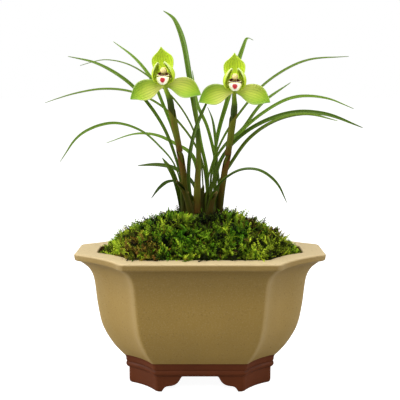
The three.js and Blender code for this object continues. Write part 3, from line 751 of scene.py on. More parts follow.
def lip_material(settings, name, spots, ground=None):
    """The creamy lip with its spots, given as (centre, radii, colour) on the UV map."""
    material, nodes, shader = new_material(
        name, Roughness=0.42, Specular_IOR_Level=0.35, Subsurface_Weight=0.1
    )
    uv = nodes.add("ShaderNodeTexCoord").outputs["UV"]
    clouds = nodes.noise(nodes.position(), 400.0, 2.0)
    across = nodes.add("ShaderNodeSeparateXYZ", {0: uv}).outputs[0]
    off_middle = nodes.math("ABSOLUTE", nodes.math("MULTIPLY_ADD", across, 2.0, -1.0))
    body = nodes.mix(clouds, ground or (0.93, 0.9, 0.72), ground or settings.cream)
    body = nodes.mix(nodes.ramp(off_middle, [(0.6, 0.0), (1.0, 0.85)]), body, (0.62, 0.6, 0.14))
    for centre, radii, spot in spots:
        body = nodes.mix(oval(nodes, uv, centre, radii), body, spot)
    feed(nodes, shader, Base_Color=body, Normal=nodes.bump(clouds, 0.3, 0.2 * MM))
    return material


def cap_material():
    """The pale-yellow anther cap, softly clouded."""
    material, nodes, shader = new_material("anther cap", Roughness=0.4, Specular_IOR_Level=0.35)
    clouds = nodes.noise(nodes.position(), 420.0)
    body = nodes.mix(clouds, (0.85, 0.66, 0.2), (0.92, 0.78, 0.36))
    feed(nodes, shader, Base_Color=body, Normal=nodes.bump(clouds, 0.3, 0.2 * MM))
    return material


# ---- Pot ---------------------------------------------------------------------------------------

POT_LOW, POT_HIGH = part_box("pot")
RIM_Z = POT_HIGH.z
RIM_THICKNESS = 6 * MM
FOOT_SHARE = 0.578  # the feet's plan as a share of the rim's
WALL_STEPS = 30

# The gaps between the feet, long sides and then ends: whether turned, half the rim there, half the
# gap at its top and at the floor as shares of the foot's straight side, and how far in millimetres
# it cuts into the pot's underside, so that no two faces lie in one plane.
FOOT_GAPS = (
    (False, POT_HIGH.x, (0.4, 0.86), 0.1),
    (True, POT_HIGH.y, (0.3, 0.78), 0.17),
)

# The moulding under the wall: height in millimetres above the feet, and what it adds to the plan.
MOULDING = (
    (0.5, 0.008), (1.4, 0.018), (2.6, 0.024), (4.0, 0.024), (4.9, 0.018), (5.4, 0.014), (5.9, 0.017),
    (6.8, 0.024), (9.6, 0.026), (11.0, 0.032), (11.9, 0.038),
)

# The wall's outside: height as a share of the wall, and plan as a share of the rim's.
WALL_PROFILE = (
    (0.0, 0.62), (0.12, 0.7), (0.31, 0.782), (0.53, 0.82), (0.8, 0.846), (0.885, 0.868), (0.94, 0.9),
    (0.98, 0.94), (1.0, 0.955),
)

# The rim's rolled edge: height in millimetres above its underside, and plan as a share of the rim's.
RIM_EDGE = (
    (-0.5, 0.956), (-0.2, 0.969), (-0.1, 0.981), (0.25, 0.9895), (0.9, 0.9945), (1.6, 0.9965),
    (4.3, 1.0), (5.1, 0.9985), (5.65, 0.994), (5.92, 0.988), (6.0, 0.981),
)


def wall_share(up):
    """Plan of the wall's outside at a share of its height, smoothed between the profile's rows."""
    rows = WALL_PROFILE
    if up >= rows[-1][0]:
        return rows[-1][1]
    i = next(k for k in range(len(rows) - 1) if up <= rows[k + 1][0])
    span = rows[i + 1][0] - rows[i][0]
    f = (up - rows[i][0]) / span

    def slope(k):
        a, b = max(k - 1, 0), min(k + 1, len(rows) - 1)
        return (rows[b][1] - rows[a][1]) / (rows[b][0] - rows[a][0])

    h1, h2, h3, h4 = 2 * f**3 - 3 * f**2 + 1, f**3 - 2 * f**2 + f, 3 * f**2 - 2 * f**3, f**3 - f**2
    return h1 * rows[i][1] + h2 * span * slope(i) + h3 * rows[i + 1][1] + h4 * span * slope(i + 1)


def plan_face(name, z, settings, share_of_rim=1.0, inset=0.0):
    """One flat face with the pot's plan: a rectangle with hollow corner cuts and soft arrises.

    The rim's plan is scaled by a share, then set in by a length.
    """
    half_x, half_y = POT_HIGH.x * share_of_rim - inset, POT_HIGH.y * share_of_rim - inset
    cut = settings.corner_cut * share_of_rim - (2 - math.sqrt(2)) * inset
    deselect_all()
    bpy.ops.mesh.primitive_plane_add(size=2, location=(0, 0, z))
    piece = bpy.context.object
    piece.name = piece.data.name = name
    piece.scale = (half_x, half_y, 1)
    apply_place(piece)
    bpy.context.tool_settings.mesh_select_mode = (True, False, False)
    edit(piece)
    bpy.ops.mesh.bevel(
        offset_type="OFFSET",
        offset=cut,
        segments=14,
        profile=settings.corner_hollow,
        affect="VERTICES",
    )
    bpy.ops.mesh.select_all(action="DESELECT")
    close_edit()
    for vertex in piece.data.vertices:
        x, y = abs(vertex.co.x), abs(vertex.co.y)
        vertex.select = abs(x - half_x) < 1e-6 or abs(y - half_y) < 1e-6
    bpy.ops.object.mode_set(mode="EDIT")
    bpy.ops.mesh.bevel(
        offset_type="OFFSET",
        offset=settings.arris * share_of_rim,
        segments=4,
        profile=0.5,
        affect="VERTICES",
    )
    close_edit()
    return piece


def plan_outline(settings, share_of_rim=1.0, inset=0.0):
    """The plan's outline as points in order round the pot's axis."""
    face = plan_face("outline", 0, settings, share_of_rim, inset)
    points = points_of(face.data)[:, :2]
    bpy.data.objects.remove(face)
    return points[np.argsort(np.arctan2(points[:, 1], points[:, 0]))]


def raise_to(piece, outline, z):
    """Extrudes the selected face and lays its points on an outline at a height."""
    bpy.ops.mesh.extrude_region_move(TRANSFORM_OT_translate={"value": (0, 0, 0)})
    close_edit()
    ring = [v for v in piece.data.vertices if v.select]
    ring.sort(key=lambda v: math.atan2(v.co.y, v.co.x))
    for vertex, point in zip(ring, outline):
        vertex.co = (*point, z)
    bpy.ops.object.mode_set(mode="EDIT")


def only_face(piece):
    """Opens a one-face piece in face mode with that face selected."""
    bpy.context.tool_settings.mesh_select_mode = (False, False, True)
    edit(piece)


def select_faces(piece, wanted):
    """Selects faces by their middle and normal, and leaves the piece in edit mode."""
    bpy.context.tool_settings.mesh_select_mode = (False, False, True)
    edit(piece, "DESELECT")
    close_edit()
    for polygon in piece.data.polygons:
        polygon.select = wanted(polygon.center, polygon.normal)
    bpy.ops.object.mode_set(mode="EDIT")


def cloud_cutter(name, half, top_share, foot_share, height, turned):
    """The cloud-shaped gap between two feet, as a solid that cuts right through."""
    top, foot = half * top_share, half * foot_share
    across = foot - top
    side = [(-foot - 1 * MM, -1 * MM), (-foot, 0.2 * MM)]

    def curve(a, b, c, d, steps=10):
        for k in range(1, steps + 1):
            t = k / steps
            w = ((1 - t) ** 3, 3 * t * (1 - t) ** 2, 3 * t * t * (1 - t), t**3)
            side.append(tuple(w[0] * a[i] + w[1] * b[i] + w[2] * c[i] + w[3] * d[i] for i in (0, 1)))

    lobe = (-foot + across * 0.32, height * 0.37)
    neck = (-top - across * 0.08, height * 0.86)
    curve(side[-1], (-foot + across * 0.08, height * 0.2), (-foot + across * 0.14, height * 0.35), lobe)
    curve(lobe, (-foot + across * 0.66, height * 0.4), (-top - across * 0.2, height * 0.55), neck)
    curve(neck, (-top - across * 0.02, height), (-top, height), (-top + 2 * MM, height), 5)
    side += [(-x, z) for x, z in reversed(side)]
    reach = POT_HIGH.x
    points = [(x, y, z) for y in (-reach, reach) for x, z in side]
    n = len(side)
    faces = [tuple(range(n)), tuple(range(2 * n - 1, n - 1, -1))]
    faces += [(i, i + n, (i + 1) % n + n, (i + 1) % n) for i in range(n)]
    cutter = mesh_piece(name, points, faces)
    if turned:
        cutter.rotation_euler.z = math.pi / 2
        apply_place(cutter)
    face_outwards(cutter)
    return cutter


def boolean(piece, other, operation):
    """Cuts or joins with another solid, which is used up."""
    apply_modifier(piece, "BOOLEAN", object=other, operation=operation, solver="EXACT")
    bpy.data.objects.remove(other)


class OrchidPot(bpy.types.Operator):
    """Throws the flared pot: body, rim, moulding, feet and drain holes"""

    bl_idname = "orchid.pot"
    bl_label = "Pot"

    def execute(self, context):
        settings = context.scene.orchid_pot
        band_top = settings.foot_height + settings.band_height
        wall_height = RIM_Z - RIM_THICKNESS - band_top
        body = self.body(settings, band_top, wall_height)
        feet = self.feet(settings)
        boolean(body, feet, "UNION")
        for turned, side, shares, above in FOOT_GAPS:
            half = (side - settings.corner_cut) * FOOT_SHARE
            top = settings.foot_height + above * MM
            cutter = cloud_cutter("cloud gap", half, *shares, top, turned)
            boolean(body, cutter, "DIFFERENCE")
        for node in ("drain_mesh_left", "drain_mesh_right"):
            low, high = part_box(node)
            deselect_all()
            bpy.ops.mesh.primitive_cylinder_add(
                vertices=40,
                radius=settings.drain_hole,
                depth=40 * MM,
                location=((low.x + high.x) / 2, 0, low.z),
            )
            boolean(body, context.object, "DIFFERENCE")
        self.soften(body, settings)
        body.name = body.data.name = "flared_pot"
        smooth(body, 30)
        apply_modifier(body, "WEIGHTED_NORMAL", mode="FACE_AREA", weight=50, keep_sharp=True)
        self.paint(body, settings, band_top)
        hand_over(body, "pot", "pot")
        return {"FINISHED"}

    def body(self, settings, band_top, wall_height):
        """The wall, rim and inside, raised level by level from the plan."""
        foot, under_rim = settings.foot_height, RIM_Z - RIM_THICKNESS
        rim = plan_outline(settings)
        levels = [(foot + up * MM, FOOT_SHARE + more) for up, more in MOULDING]
        levels.append((band_top + 0.15 * MM, WALL_PROFILE[0][1]))
        shares = [k / WALL_STEPS for k in range(1, WALL_STEPS)]
        levels += [(band_top + up * wall_height, wall_share(up)) for up in shares]
        levels += [(under_rim + up * MM, size) for up, size in RIM_EDGE]
        rings = [(rim * size, z) for z, size in levels]
        for inset, down in ((1.3, 0.0), (0.5, 0.25), (0.0, 1.2)):
            opening = plan_outline(settings, 1.0, settings.rim_width - inset * MM)
            rings.append((opening, RIM_Z - down * MM))
        floor_z = foot + settings.floor
        for up in (0.7, 0.45, 0.2, 0.03):
            z = floor_z + up * (RIM_Z - floor_z)
            size = wall_share(max(0.0, (z - band_top) / wall_height))
            rings.append((plan_outline(settings, size, settings.wall), z))
        rings.append((plan_outline(settings, WALL_PROFILE[0][1], settings.wall + 2 * MM), floor_z))
        body = plan_face("flared_pot", foot, settings, FOOT_SHARE)
        only_face(body)
        for outline, z in rings:
            raise_to(body, outline, z)
        close_edit()
        face_outwards(body)
        return body

    def feet(self, settings):
        """The ring that the feet are cut from."""
        rim = plan_outline(settings)
        feet = plan_face("feet", 0.0, settings, FOOT_SHARE * 0.97)
        only_face(feet)
        for z, size in ((0.5, 0.988), (1.5, 0.997), (3.0, 1.0)):
            raise_to(feet, rim * FOOT_SHARE * size, z * MM)
        raise_to(feet, rim * FOOT_SHARE, settings.foot_height + 0.3 * MM)
        close_edit()
        face_outwards(feet)
        hollow = plan_face("hollow", -5 * MM, settings, FOOT_SHARE, settings.foot_wall)
        only_face(hollow)
        bpy.ops.mesh.extrude_region_move(
            TRANSFORM_OT_translate={"value": (0, 0, settings.foot_height + 5 * MM)}
        )
        close_edit()
        face_outwards(hollow)
        boolean(feet, hollow, "DIFFERENCE")
        return feet

    def soften(self, body, settings):
        """Rounds the cut edges of the feet."""
        mesh = body.data
        bpy.context.tool_settings.mesh_select_mode = (False, True, False)
        edit(body, "DESELECT")
        close_edit()
        faces = {}
        for polygon in mesh.polygons:
            for key in polygon.edge_keys:
                faces.setdefault(key, []).append(polygon.normal)
        for edge in mesh.edges:
            ends = [mesh.vertices[i].co for i in edge.vertices]
            low = max(e.z for e in ends) < settings.foot_height + 0.05 * MM
            sides = faces.get(edge.key, [])
            edge.select = low and len(sides) == 2 and sides[0].angle(sides[1], 0) > math.radians(55)
        bpy.ops.object.mode_set(mode="EDIT")
        bpy.ops.mesh.bevel(offset=0.5 * MM, segments=2, affect="EDGES", clamp_overlap=True)
        close_edit()

    def paint(self, body, settings, band_top):
        """Glaze outside, bare clay below, inside and underneath; paler glaze painted along the edges as
        sheen and highlight.
        """
        mesh = body.data
        mesh.materials.clear()
        inner_clay = clay_material(settings, "inner clay", 0.75)
        for material in (glaze_material(settings), clay_material(settings), inner_clay):
            mesh.materials.append(material)
        inner_x = POT_HIGH.x - settings.rim_width + 0.4 * MM
        for polygon in mesh.polygons:
            c = polygon.center
            inward = c.x * polygon.normal.x + c.y * polygon.normal.y < 0 and polygon.normal.z < 0.9
            inside = c.z > band_top and inward and c.z < RIM_Z - 1.0 * MM and abs(c.x) <= inner_x
            if inside or (polygon.normal.z > 0.5 and c.z < RIM_Z - 20 * MM and c.xy.length < inner_x):
                polygon.material_index = 2
            elif c.z < band_top + 0.1 * MM:
                polygon.material_index = 1
        set_number(body, "edge", self.painted_sheen_share(mesh, settings, band_top))

    def painted_sheen_share(self, mesh, settings, band_top):
        """How much painted sheen and highlight the pale glaze gives each point: most on the rim, a
        little along the arrises.
        """
        points = points_of(mesh)
        wall_height = RIM_Z - RIM_THICKNESS - band_top
        up = (points[:, 2] - band_top) / wall_height
        size = np.array([wall_share(min(1.0, max(0.0, u))) for u in up])
        x, y = np.abs(points[:, 0]) / size, np.abs(points[:, 1]) / size
        half_x, half_y, cut = POT_HIGH.x, POT_HIGH.y, settings.corner_cut
        near = np.minimum(
            np.hypot(x - (half_x - cut), y - half_y), np.hypot(x - half_x, y - (half_y - cut))
        )
        on_corner = (x > half_x - cut - 1 * MM) & (y > half_y - cut - 1 * MM)
        # painted highlight along the arrises, broadest on the hollow corner cuts that face the side
        # lights
        corner_arris = 0.1 + 0.14 * np.clip(1 - near / (16 * MM), 0, 1)
        long_arris = 0.08 * np.clip(1 - near / (8 * MM), 0, 1)
        arris = np.where(on_corner, corner_arris, long_arris)
        # painted sheen on the rim, most on its top where the top light falls
        rim = np.clip((points[:, 2] - (RIM_Z - RIM_THICKNESS - 0.2 * MM)) / (1.2 * MM), 0, 1)
        top = np.clip((points[:, 2] - (RIM_Z - 1.5 * MM)) / (1.5 * MM), 0, 1)
        return np.maximum(arris, 0.08 * rim + 0.87 * top)


# ---- Soil, drainage and bulbs ------------------------------------------------------------------


def roughen(piece, amount, scale, seed):
    """Moves a piece's points along their normals by smooth noise."""
    mesh = piece.data
    normals = [v.normal.copy() for v in mesh.vertices]
    for vertex, normal in zip(mesh.vertices, normals):
        place = vertex.co * scale + Vector((seed, seed, seed))
        vertex.co += normal * amount * noise.noise(place)


class OrchidSoil(bpy.types.Operator):
    """Fills the pot: drain meshes, drainage stones, potting mix and pseudobulbs"""

    bl_idname = "orchid.soil"
    bl_label = "Soil, drainage and bulbs"

    def execute(self, context):
        self.meshes()
        self.stones()
        self.potting_mix()
        self.bulbs()
        return {"FINISHED"}

    def meshes(self):
        """Round plastic meshes over the drain holes."""
        black, grey = (0.012, 0.013, 0.012), (0.03, 0.03, 0.03)
        material = rough_material("black plastic", black, grey, 1500.0, 0.2)
        for side in SIDES:
            node = "drain_mesh_" + side
            middle, radius = middle_and_radius(node)
            deselect_all()
            bpy.ops.mesh.primitive_grid_add(
                x_subdivisions=13, y_subdivisions=13, size=2 * radius * 0.98, location=middle
            )
            grid = bpy.context.object
            apply_place(grid)
            select_faces(grid, lambda c, n: (c - middle).length > radius * 0.86)
            bpy.ops.mesh.delete(type="FACE")
            close_edit()
            apply_modifier(grid, "WIREFRAME", thickness=0.7 * MM, use_boundary=True)
            deselect_all()
            bpy.ops.mesh.primitive_torus_add(
                major_radius=radius * 0.94,
                minor_radius=0.45 * MM,
                major_segments=40,
                minor_segments=8,
                location=middle,
            )
            rim = bpy.context.object
            apply_place(rim)
            rim.select_set(True)
            grid.select_set(True)
            bpy.context.view_layer.objects.active = grid
            bpy.ops.object.join()
            grid.name = grid.data.name = "mesh_disc_" + side
            smooth(grid, 30)
            hand_over(grid, "drain_mesh", node, material=material)

    def stones(self):
        """Pumice pebbles in the shape of the drainage layer."""
        low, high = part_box("drainage_stones")
        dice = random.Random(11)
        deselect_all()
        bpy.ops.mesh.primitive_ico_sphere_add(subdivisions=2, radius=1)
        pebble = bpy.context.object
        roughen(pebble, 0.35, 1.6, 3.0)
        shape = points_of(pebble.data)
        faces = [tuple(p.vertices) for p in pebble.data.polygons]
        bpy.data.objects.remove(pebble)
        points, all_faces = [], []
        pitch = 6.4 * MM
        corner = 21 * MM  # how far the layer's corners are cut back
        rows = np.arange(low.z + 3.2 * MM, high.z - 2 * MM, 4.4 * MM)
        for level, z in enumerate(rows):
            inset = 4.5 * MM + (rows[-1] - z) * 0.5
            for x in np.arange(low.x + inset, high.x - inset, pitch):
                for y in np.arange(low.y + inset, high.y - inset, pitch):
                    x2 = x + (level % 2) * pitch / 2 + dice.uniform(-0.6, 0.6) * MM
                    y2 = y + (level % 2) * pitch / 2 + dice.uniform(-0.6, 0.6) * MM
                    if abs(x2) + abs(y2) > high.x + high.y - corner - inset:
                        continue
                    if abs(x2) > high.x - inset or abs(y2) > high.y - inset:
                        continue
                    turn = Matrix.Rotation(dice.uniform(0, 6.28), 3, Vector([dice.random() + 0.1] * 3))
                    size = np.array([dice.uniform(2.2, 2.9) * MM for _ in range(3)])
                    base = len(points)
                    points += [Vector(p * size) @ turn + Vector((x2, y2, z)) for p in shape]
                    all_faces += [tuple(base + i for i in f) for f in faces]
        pebbles = mesh_piece("pumice_pebbles", points, all_faces)
        smooth(pebbles)
        material = rough_material("pumice", (0.25, 0.2, 0.15), (0.55, 0.47, 0.38), 700.0)
        hand_over(pebbles, "drainage", "drainage_stones", material=material)

    def potting_mix(self):
        """The potting mix, its flat faces merged and cut into triangles."""
        piece = copy_of("potting_mix", "potting_mix_lumps")
        edit(piece)
        bpy.ops.mesh.dissolve_limited(angle_limit=math.radians(1))
        bpy.ops.mesh.quads_convert_to_tris()
        close_edit()
        material = rough_material("potting mix", (0.02, 0.012, 0.008), (0.1, 0.06, 0.035), 500.0)
        smooth(piece, 40)
        hand_over(piece, "potting_mix", "potting_mix", material=material)

    def bulbs(self):
        """Pseudobulbs, ribbed and narrowing into the leaves."""
        material = stem_material("bulb")
        for node in BULB_NODES:
            low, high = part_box(node)
            middle, radius = middle_and_radius(node)
            deselect_all()
            bpy.ops.mesh.primitive_uv_sphere_add(segments=40, ring_count=20, radius=1, location=middle)
            bulb = bpy.context.object
            bulb.name = bulb.data.name = "bulb_" + node.split("_")[1]
            bulb.scale = (radius * 0.97, radius * 0.97, (high.z - low.z) / 2)
            apply_place(bulb)
            for vertex in bulb.data.vertices:
                away = vertex.co - middle
                angle = math.atan2(away.y, away.x)
                rib = 1 - 0.035 * (0.5 + 0.5 * math.cos(9 * angle))
                vertex.co = middle + Vector((away.x * rib, away.y * rib, away.z))
            smooth(bulb)
            hand_over(bulb, "pseudobulb", node, material=material)


# ---- Moss --------------------------------------------------------------------------------------


def stem_cones(bend, width, taper):
    """A stem of three cones, one on another. bend(t) is its place at a share t of its length."""
    shares = [k / 3 for k in range(4)]
    return [(bend(a), bend(b), width * (taper - a), a, b) for a, b in zip(shares, shares[1:])]


def sprig_shape(leaflets, spread, curl, seed):
    """A sprig of unit length along +Z with leaflets all round, as cone_mesh gives it."""
    dice = random.Random(seed)

    def bend(t):
        return Vector((curl * t * t, 0, t))

    cones = stem_cones(bend, 0.035, 1.25)
    for k in range(leaflets):
        t = 0.12 + 0.86 * k / (leaflets - 1)
        angle = k * 2.4 + dice.uniform(-0.3, 0.3)
        reach = spread * (1.15 - 0.55 * t) * dice.uniform(0.8, 1.2)
        out = Vector((math.cos(angle), math.sin(angle), 0.9)).normalized()
        cones.append((bend(t), bend(t) + out * reach, 0.062, t * 0.85, min(1.0, t * 0.85 + 0.3)))
    return cone_mesh(cones)


def frond_shape(pairs, spread, curl, seed):
    """A flat frond of unit length along +Z with leaflets in pairs, as cone_mesh gives it."""
    dice = random.Random(seed)

    def bend(t):
        return Vector((0, curl * t * t, t))

    cones = stem_cones(bend, 0.055, 1.3)
    for k in range(pairs):
        t = 0.14 + 0.82 * k / (pairs - 1)
        for hand in (-1, 1):
            reach = spread * math.sin(math.pi * (0.25 + 0.68 * t)) * dice.uniform(0.75, 1.2)
            out = Vector((hand, dice.uniform(-0.1, 0.5), 0.75 + dice.uniform(-0.2, 0.3))).normalized()
            tips = (0.05 + t * 0.6, min(1.0, 0.4 + t * 0.65))
            cones.append((bend(t), bend(t) + out * reach, 0.05, *tips))
    return cone_mesh(cones)


def cone_mesh(cones):
    """Thin three-sided cones as points, faces and how near a tip each point is."""
    points, faces, tips = [], [], []
    for root, end, radius, tip_a, tip_b in cones:
        along = (end - root).normalized()
        side = along.orthogonal().normalized()
        other = along.cross(side)
        base = len(points)
        for k in range(3):
            angle = k * 2 * math.pi / 3
            points.append(root + (side * math.cos(angle) + other * math.sin(angle)) * radius)
            tips.append(tip_a)
        points.append(end)
        tips.append(tip_b)
        faces += [(base, base + 2, base + 1)]
        faces += [(base + k, base + (k + 1) % 3, base + 3) for k in range(3)]
    return np.array(points), np.array(faces), np.array(tips)


def surface_spots(node, count, seed):
    """Random spots, with their normals, on the upward faces of a CAD node."""
    mesh = NODES[node].data
    points = points_of(mesh)
    mesh.calc_loop_triangles()
    triangles = np.array([t.vertices[:] for t in mesh.loop_triangles])
    a, b, c = (points[triangles[:, k]] for k in range(3))
    normals = np.cross(b - a, c - a)
    area = np.linalg.norm(normals, axis=1)
    normals /= area[:, None] + 1e-12
    area = np.where(normals[:, 2] > 0.35, area, 0)
    dice = np.random.default_rng(seed)
    pick = dice.choice(len(area), count, p=area / area.sum())
    u, v = dice.random((2, count))
    over = u + v > 1
    u[over], v[over] = 1 - u[over], 1 - v[over]
    spots = a[pick] + u[:, None] * (b - a)[pick] + v[:, None] * (c - a)[pick]
    return spots, normals[pick]


def crown_spots(count, seed):
    """Random spots between the pseudobulbs, where the moss creeps up to the leaves."""
    bulbs = [middle_and_radius(node) for node in BULB_NODES]
    top = max(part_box(node)[1].z for node in BULB_NODES)
    middle = sum((bulb for bulb, _ in bulbs), Vector()) / len(bulbs)
    half_x, half_y = 30 * MM, 24 * MM
    clearance = 0.6 * MM
    dice = random.Random(seed)
    spots = []
    while len(spots) < count:
        x = middle.x + dice.uniform(-1, 1) * half_x
        y = middle.y + dice.uniform(-1, 1) * half_y
        away = math.hypot((x - middle.x) / half_x, (y - middle.y) / half_y)
        clear = min(math.hypot(x - bulb.x, y - bulb.y) - radius for bulb, radius in bulbs)
        if away <= 1 and clear >= clearance:
            spots.append((x, y, top - (3.0 + 3.0 * away) * MM))
    return np.array(spots), np.tile((0.0, 0.0, 1.0), (count, 1))


def scatter_sprigs(name, shapes, spots, normals, lengths, lean, dice):
    """Plants copies of the sprigs in one mesh. lean is how far they stray from the normals."""
    points, faces, tips, owner = [], [], [], []
    base = 0
    for index, (spot, normal, size) in enumerate(zip(spots, normals, lengths)):
        shape_points, shape_faces, shape_tips = shapes[dice.integers(len(shapes))]
        outward = spot * (1, 1, 0)
        outward /= np.linalg.norm(outward) + 1e-9
        stray = dice.normal(0, lean, 3) + outward * 0.3 + (0, 0, 0.25)
        up = Vector(normal + stray).normalized()
        spin = Matrix.Rotation(dice.uniform(0, 6.28), 3, "Z")
        turn = up.to_track_quat("Z", "Y").to_matrix() @ spin
        points.append(shape_points @ np.array(turn).T * size + spot)
        faces.append(shape_faces + base)
        tips.append(shape_tips)
        owner.append(np.full(len(shape_points), index))
        base += len(shape_points)
    piece = mesh_piece(name, np.concatenate(points), np.concatenate(faces).tolist())
    owner = np.concatenate(owner)
    set_number(piece, "tip", np.concatenate(tips))
    set_number(piece, "tone", brightness(spots, dice)[owner])
    set_number(piece, "dry", dryness(spots, dice)[owner])
    set_number(piece, "light", shelter(spots, dice)[owner])
    return piece


def bumps(points, coarse, fine, fine_share):
    """Smooth noise at each point, with a share of finer noise."""
    return np.array(
        [noise.noise(Vector(p) * coarse) + fine_share * noise.noise(Vector(p) * fine) for p in points]
    )


# Where the moss has dried: middle and radius in millimetres.
DRY_PATCHES = (
    (-55, -32, 13), (-40, -40, 8), (42, -8, 9), (66, 4, 8), (-20, 30, 16), (52, 34, 13),
)


def dryness(spots, dice):
    """How dry the moss is at each spot: a few brown and orange patches, and odd dry sprigs."""
    dry = np.zeros(len(spots))
    for x, y, radius in DRY_PATCHES:
        away = np.hypot(spots[:, 0] - x * MM, spots[:, 1] - y * MM) / (radius * MM)
        dry = np.maximum(dry, np.clip(1.4 - away, 0, 1))
    chance = dice.random(len(spots))
    return np.where(chance < dry * 0.8 + 0.05, 0.55 + 0.45 * dice.random(len(spots)), 0.0)


def brightness(spots, dice):
    """How yellow each sprig's tips are, partly the moss's own colour and partly painted highlight: most
    at the two ends, in clumps, with odd bright ones.
    """
    clumps = np.array([noise.noise(Vector(p) * 75) for p in spots])
    ends = np.clip((np.abs(spots[:, 0]) / MM - 18) / 45, 0, 1)
    tone = 0.06 + 0.42 * ends + 0.9 * clumps + dice.normal(0, 0.22, len(spots))
    return np.clip(tone + 0.5 * (dice.random(len(spots)) < 0.06), 0, 1)


def shelter(spots, dice):
    """How much light each sprig gets: little in the hollows between tufts, most on the tufts."""
    tufts = bumps(spots, 105, 260, 0.6)
    return np.clip(0.5 + 1.15 * tufts + dice.normal(0, 0.24, len(spots)), 0, 1)


def settle(points):
    """Lowers the moss where it meets the pot's narrow ends, and breaks it into hummocks."""
    ends = np.clip((np.abs(points[:, 0]) / MM - 66) / 22, 0, 1) ** 1.3
    low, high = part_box("moss_carpet")
    inward = np.clip((high.z - points[:, 2]) / (high.z - low.z), 0, 1)
    hummocks = bumps(points, 60, 140, 0.5)
    drop = 4.4 * ends + 1.2 + 2.4 * np.clip(-hummocks, -0.5, 0.6)
    points[:, 2] -= drop * MM
    points[:, 0] *= 1 - 0.02 * ends * inward
    return points


# Tufts that hang over the front of the rim: place along it in millimetres, number of fronds, size.
OVER_RIM = (
    (-41, 5, 1.0), (-38, 2, 0.7), (-12.5, 7, 1.1), (-9, 3, 0.7), (8, 5, 0.7), (12, 2, 0.5),
    (-60, 2, 0.6),
)


class OrchidMoss(bpy.types.Operator):
    """Lays the moss: a rough mat, thousands of feathery sprigs, long fronds and strays"""

    bl_idname = "orchid.moss"
    bl_label = "Moss"

    def execute(self, context):
        settings = context.scene.orchid_moss
        self.mat(settings)
        dice = np.random.default_rng(5)
        small = [
            sprig_shape(9, 0.36, 0.25, 1),
            sprig_shape(9, 0.32, 0.5, 2),
            sprig_shape(8, 0.42, 0.1, 3),
        ]
        fronds = [
            frond_shape(6, 0.34, 0.5, 11),
            frond_shape(7, 0.3, 0.75, 12),
            frond_shape(6, 0.38, 0.3, 13),
            frond_shape(7, 0.28, -0.4, 14),
        ]
        material = moss_material(settings)
        for number in range(3):
            spots, normals = surface_spots("moss_carpet", settings.sprigs // 3, 20 + number)
            spots = settle(spots - normals * 0.6 * MM)
            lengths = settings.sprig_length * dice.uniform(0.55, 1.0, len(spots))
            self.plant(f"moss_sprigs_{number + 1}", small, spots, normals, lengths, 0.5, dice, material)
        spots, normals = surface_spots("moss_carpet", settings.fronds, 40)
        spots = settle(spots)
        reach = np.clip((88 - np.abs(spots[:, 0]) / MM) / 22, 0.45, 1)
        lengths = settings.frond_length * dice.uniform(0.55, 1.0, len(spots)) * reach
        self.plant("moss_fronds", fronds, spots, normals, lengths, 1.0, dice, material)
        spots, normals = crown_spots(settings.sprigs // 9, 7)
        lengths = settings.sprig_length * dice.uniform(0.6, 1.1, len(spots))
        self.plant("moss_crown", small + fronds, spots, normals, lengths, 0.5, dice, material)
        self.strays(settings, fronds, dice, material)
        return {"FINISHED"}

    def plant(self, name, shapes, spots, normals, lengths, lean, dice, material):
        """Scatters one kind of sprig and hands it over."""
        piece = scatter_sprigs(name, shapes, spots, normals, lengths, lean, dice)
        hand_over(piece, "moss", material=material)

    def strays(self, settings, fronds, dice, material):
        """Tall sprigs on the mound's outline and fronds that hang over the front of the rim."""
        spots, normals = surface_spots("moss_carpet", 70, 60)
        spots = settle(spots)
        away = np.abs(spots[:, 0]) / MM < 76
        spots, normals = spots[away], normals[away] * 0.6 + (0, 0, 0.8)
        lengths = settings.frond_length * dice.uniform(0.65, 1.0, len(spots))
        self.plant("moss_strays", fronds, spots, normals, lengths, 0.35, dice, material)
        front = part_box("moss_carpet")[0].y
        spots, normals, lengths = [], [], []
        for x, count, size in OVER_RIM:
            for _ in range(count):
                across, back = dice.normal(x, 1.6), dice.uniform(0, 3)
                up = dice.uniform(0.6, 2.0)
                spots.append((across * MM, front + back * MM, RIM_Z + up * MM))
                normals.append((dice.normal(0, 0.45), -1, -0.3))
                lengths.append(settings.frond_length * 1.25 * size * dice.uniform(0.6, 1.0))
        spots, normals, lengths = np.array(spots), np.array(normals), np.array(lengths)
        self.plant("moss_over_rim", fronds, spots, normals, lengths, 0.2, dice, material)

    def mat(self, settings):
        """The carpet under the sprigs."""
        piece = copy_of("moss_carpet", "moss_mat")
        apply_modifier(piece, "SUBSURF", levels=3, render_levels=3, subdivision_type="SIMPLE")
        roughen(piece, 1.2 * MM, 260.0, 9.0)
        points = points_of(piece.data)
        top = np.array([v.normal.z > -0.2 for v in piece.data.vertices])
        points[top] = settle(points[top])
        piece.data.vertices.foreach_set("co", points.ravel())
        piece.data.update()
        smooth(piece)
        for name, value in (("tip", 0.1), ("tone", 0.1), ("dry", 0.4), ("light", 0.5)):
            set_number(piece, name, value)
        # painted shade: the mat is a darker copy of the moss, as it lies in shade under the sprigs
        material = moss_material(settings, "moss mat", 0.35)
        hand_over(piece, "moss", "moss_carpet", material=material)


# ---- Leaves ------------------------------------------------------------------------------------

